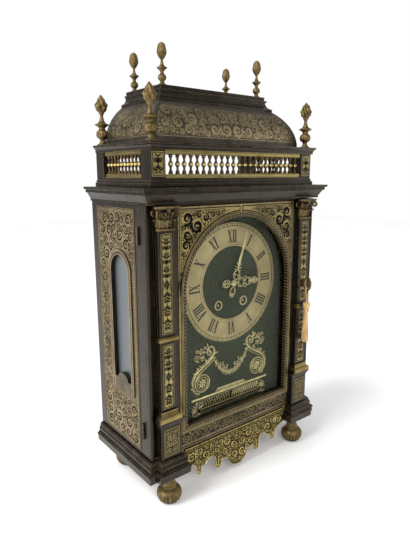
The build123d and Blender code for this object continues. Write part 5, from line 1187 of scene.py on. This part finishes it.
minute.ribbon(smooth_line([(0, 5), (5.2, 9.5), (6.0, 15), (2.2, 19.5), (0, 25)], 24), 0.8)
minute.scroll(3.4, 12.0, 3.2, -1.2, 1, True, 1.0, 0.2, 2)
for z0, a in ((24, 0.1), (27, 0.7), (19, 0.2), (13, 0.0)):
    minute.leaflet(1.0, z0, a, 6.2, 0.75)
minute.ribbon(smooth_line([(0, -5), (4.0, -9.5), (4.2, -15), (0.6, -19.5)], 16), 0.75)
for a in (-1.3, -0.7, -0.1):
    minute.leaflet(0, -16, a, 6.5, 0.95)
minute.dot(0, 0, 4.6, False)
minute.dot(0, 36, 1.2, False)
minute_piece = minute.make("pierced_minute_hand", "dial_gilt", hand_ornament(18.0, MINUTE_Y), "minute_arbor",
                           "gilt")
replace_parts(minute_piece, "minute_hand")

# Tassel: a bound head with a netted cover and a long skirt of threads
tassel = Piece()
head = [(0, 0.3), (0.35, 0.2), (0.62, -0.3), (0.71, -1.5), (0.73, -4.0), (0.7, -7.0), (0.55, -10.0),
        (0.45, -11.4), (0.56, -12.2), (0.5, -13.0), (0.58, -13.8), (0.5, -14.6)]
profile = [(max(0.05, r * 7.75), TASSEL_TOP + z) for r, z in reversed(head)]
lathe(tassel, profile, (KEY_X, BOW_Y), 40,
      lambda a, s, r: r * (1 + 0.05 * np.cos(a * 10 + s * 14) * np.cos(a * 10 - s * 14)))
rng = np.random.default_rng(7)
for k in range(170):
    a = k * GOLDEN_TURN
    depth = 0.55 + 0.45 * ((k * 0.618) % 1.0)
    low = 183.8 + 3.5 * rng.random() + (1 - depth) * 2.0
    sway = rng.normal(0, 0.35, 2)
    line = []
    for t in np.linspace(0, 1, 8):
        spread = depth * 7.4 * (0.5 + 0.22 * t + 0.28 * t ** 2)
        line.append((KEY_X + spread * math.cos(a + 0.25 * t) + sway[0] * t * math.sin(3 * t),
                     BOW_Y + spread * math.sin(a + 0.25 * t) + sway[1] * t * math.sin(3 * t),
                     TASSEL_TOP - 14 + (low - TASSEL_TOP + 14) * t))
    tube(tassel, line, 0.42, 5)
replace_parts(tassel.make("silk_tassel", "silk", "tassel", "silk"), "tassel")

# Cord: one loop through the key's bow, into the tassel's head
loop_half = BOW_BAR * math.sqrt(2) + CORD_GAP + CORD_THICK / 2
hang_z = KEY_Z - BOW_TALL / 2 + BOW_BAR
side_line = [(1.1, TASSEL_TOP - 0.4), (1.25, TASSEL_TOP + 7.5), (loop_half * 0.75, TASSEL_TOP + 14.5),
             (loop_half, hang_z - 1.5), (loop_half, hang_z + loop_half)]
route = side_line + [(-x, z) for x, z in reversed(side_line)]
curve = bpy.data.curves.new("silk_cord", "CURVE")
curve.dimensions = "3D"
curve.bevel_depth = CORD_THICK / 2000
curve.bevel_resolution = 4
spline = curve.splines.new("NURBS")
spline.points.add(len(route) - 1)
for point, (x, z) in zip(spline.points, route):
    point.co = ((KEY_X + x) / 1000, BOW_Y / 1000, z / 1000, 1)
spline.order_u = 3
spline.use_endpoint_u = True
curve.materials.append(M["silk"])
cord = bpy.data.objects.new("silk_cord", curve)
scene.collection.objects.link(cord)
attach(cord, "tassel")
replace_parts(cord, "tassel_cord")


# Floor, light and camera

floor_mesh = bpy.data.meshes.new("floor")
floor_mesh.from_pydata([(-4, -4, 0), (4, -4, 0), (4, 4, 0), (-4, 4, 0)], [], [(0, 1, 2, 3)])
floor = bpy.data.objects.new("floor", floor_mesh)
scene.collection.objects.link(floor)
paper = Paint("floor")
paper.set("Emission Color", (1.0, 1.0, 1.0))
paper.set("Emission Strength", 0.1)
white_paper = paper.blend(paper.noise(3.0), (0.86, 0.86, 0.86), (0.9, 0.9, 0.9))
floor_mesh.materials.append(paper.finish(white_paper, 0.9, specular=0.1))

world = bpy.data.worlds.new("studio")
scene.world = world
world.use_nodes = True
tree = world.node_tree
sky = tree.nodes["Background"]
white = tree.nodes.new("ShaderNodeBackground")
for background, strength in ((sky, 0.5), (white, 1.0)):
    background.inputs["Color"].default_value = (1, 1, 1, 1)
    background.inputs["Strength"].default_value = strength
rays = tree.nodes.new("ShaderNodeLightPath")
seen = tree.nodes.new("ShaderNodeMath")
seen.operation = "MAXIMUM"
choose = tree.nodes.new("ShaderNodeMixShader")
for output, socket in ((rays.outputs["Is Camera Ray"], seen.inputs[0]),
                       (rays.outputs["Is Transmission Ray"], seen.inputs[1]),
                       (seen.outputs[0], choose.inputs[0]), (sky.outputs[0], choose.inputs[1]),
                       (white.outputs[0], choose.inputs[2]),
                       (choose.outputs[0], tree.nodes["World Output"].inputs["Surface"])):
    tree.links.new(output, socket)

for name, place, aim_z, size, power in (("key_light", (-0.9, -2.0, 1.6), 0.3, (0.9, 1.2), 20),
                                        ("side_light", (-2.2, 0.2, 0.9), 0.3, (0.7, 1.4), 30),
                                        ("right_light", (1.9, -1.3, 1.0), 0.3, (0.5, 1.2), 6),
                                        ("top_light", (0.0, 0.3, 2.4), 0.4, (0.9, 0.9), 7)):
    lamp = bpy.data.lights.new(name, "AREA")
    lamp.shape = "RECTANGLE"
    lamp.size, lamp.size_y = size
    lamp.energy = power
    lamp_thing = bpy.data.objects.new(name, lamp)
    lamp_thing.location = place
    away = np.array(place) - (0, 0, aim_z)
    lamp_thing.rotation_euler = (math.atan2(math.hypot(*away[:2]), away[2]), 0, math.atan2(away[0], -away[1]))
    scene.collection.objects.link(lamp_thing)
sun = bpy.data.lights.new("window_sun", "SUN")
sun.energy = 1.9
sun.angle = math.radians(26.0)
sun_thing = bpy.data.objects.new("window_sun", sun)
sun_thing.rotation_euler = (math.radians(36.0), 0.0, math.radians(-92.0))
scene.collection.objects.link(sun_thing)

# The camera as fitted to the photograph: its focal length in pixels, on a picture 547 pixels high
camera_data = bpy.data.cameras.new("camera")
camera_data.lens = 36.0 * 481.49 / 547.0
camera = bpy.data.objects.new("camera", camera_data)
camera.location = (-0.46786, -0.569675, 0.4549)
camera.rotation_euler = (math.radians(90.0 - 11.67), math.radians(0.14), math.radians(-38.6))
scene.collection.objects.link(camera)
scene.camera = camera
scene.view_settings.view_transform = "Standard"
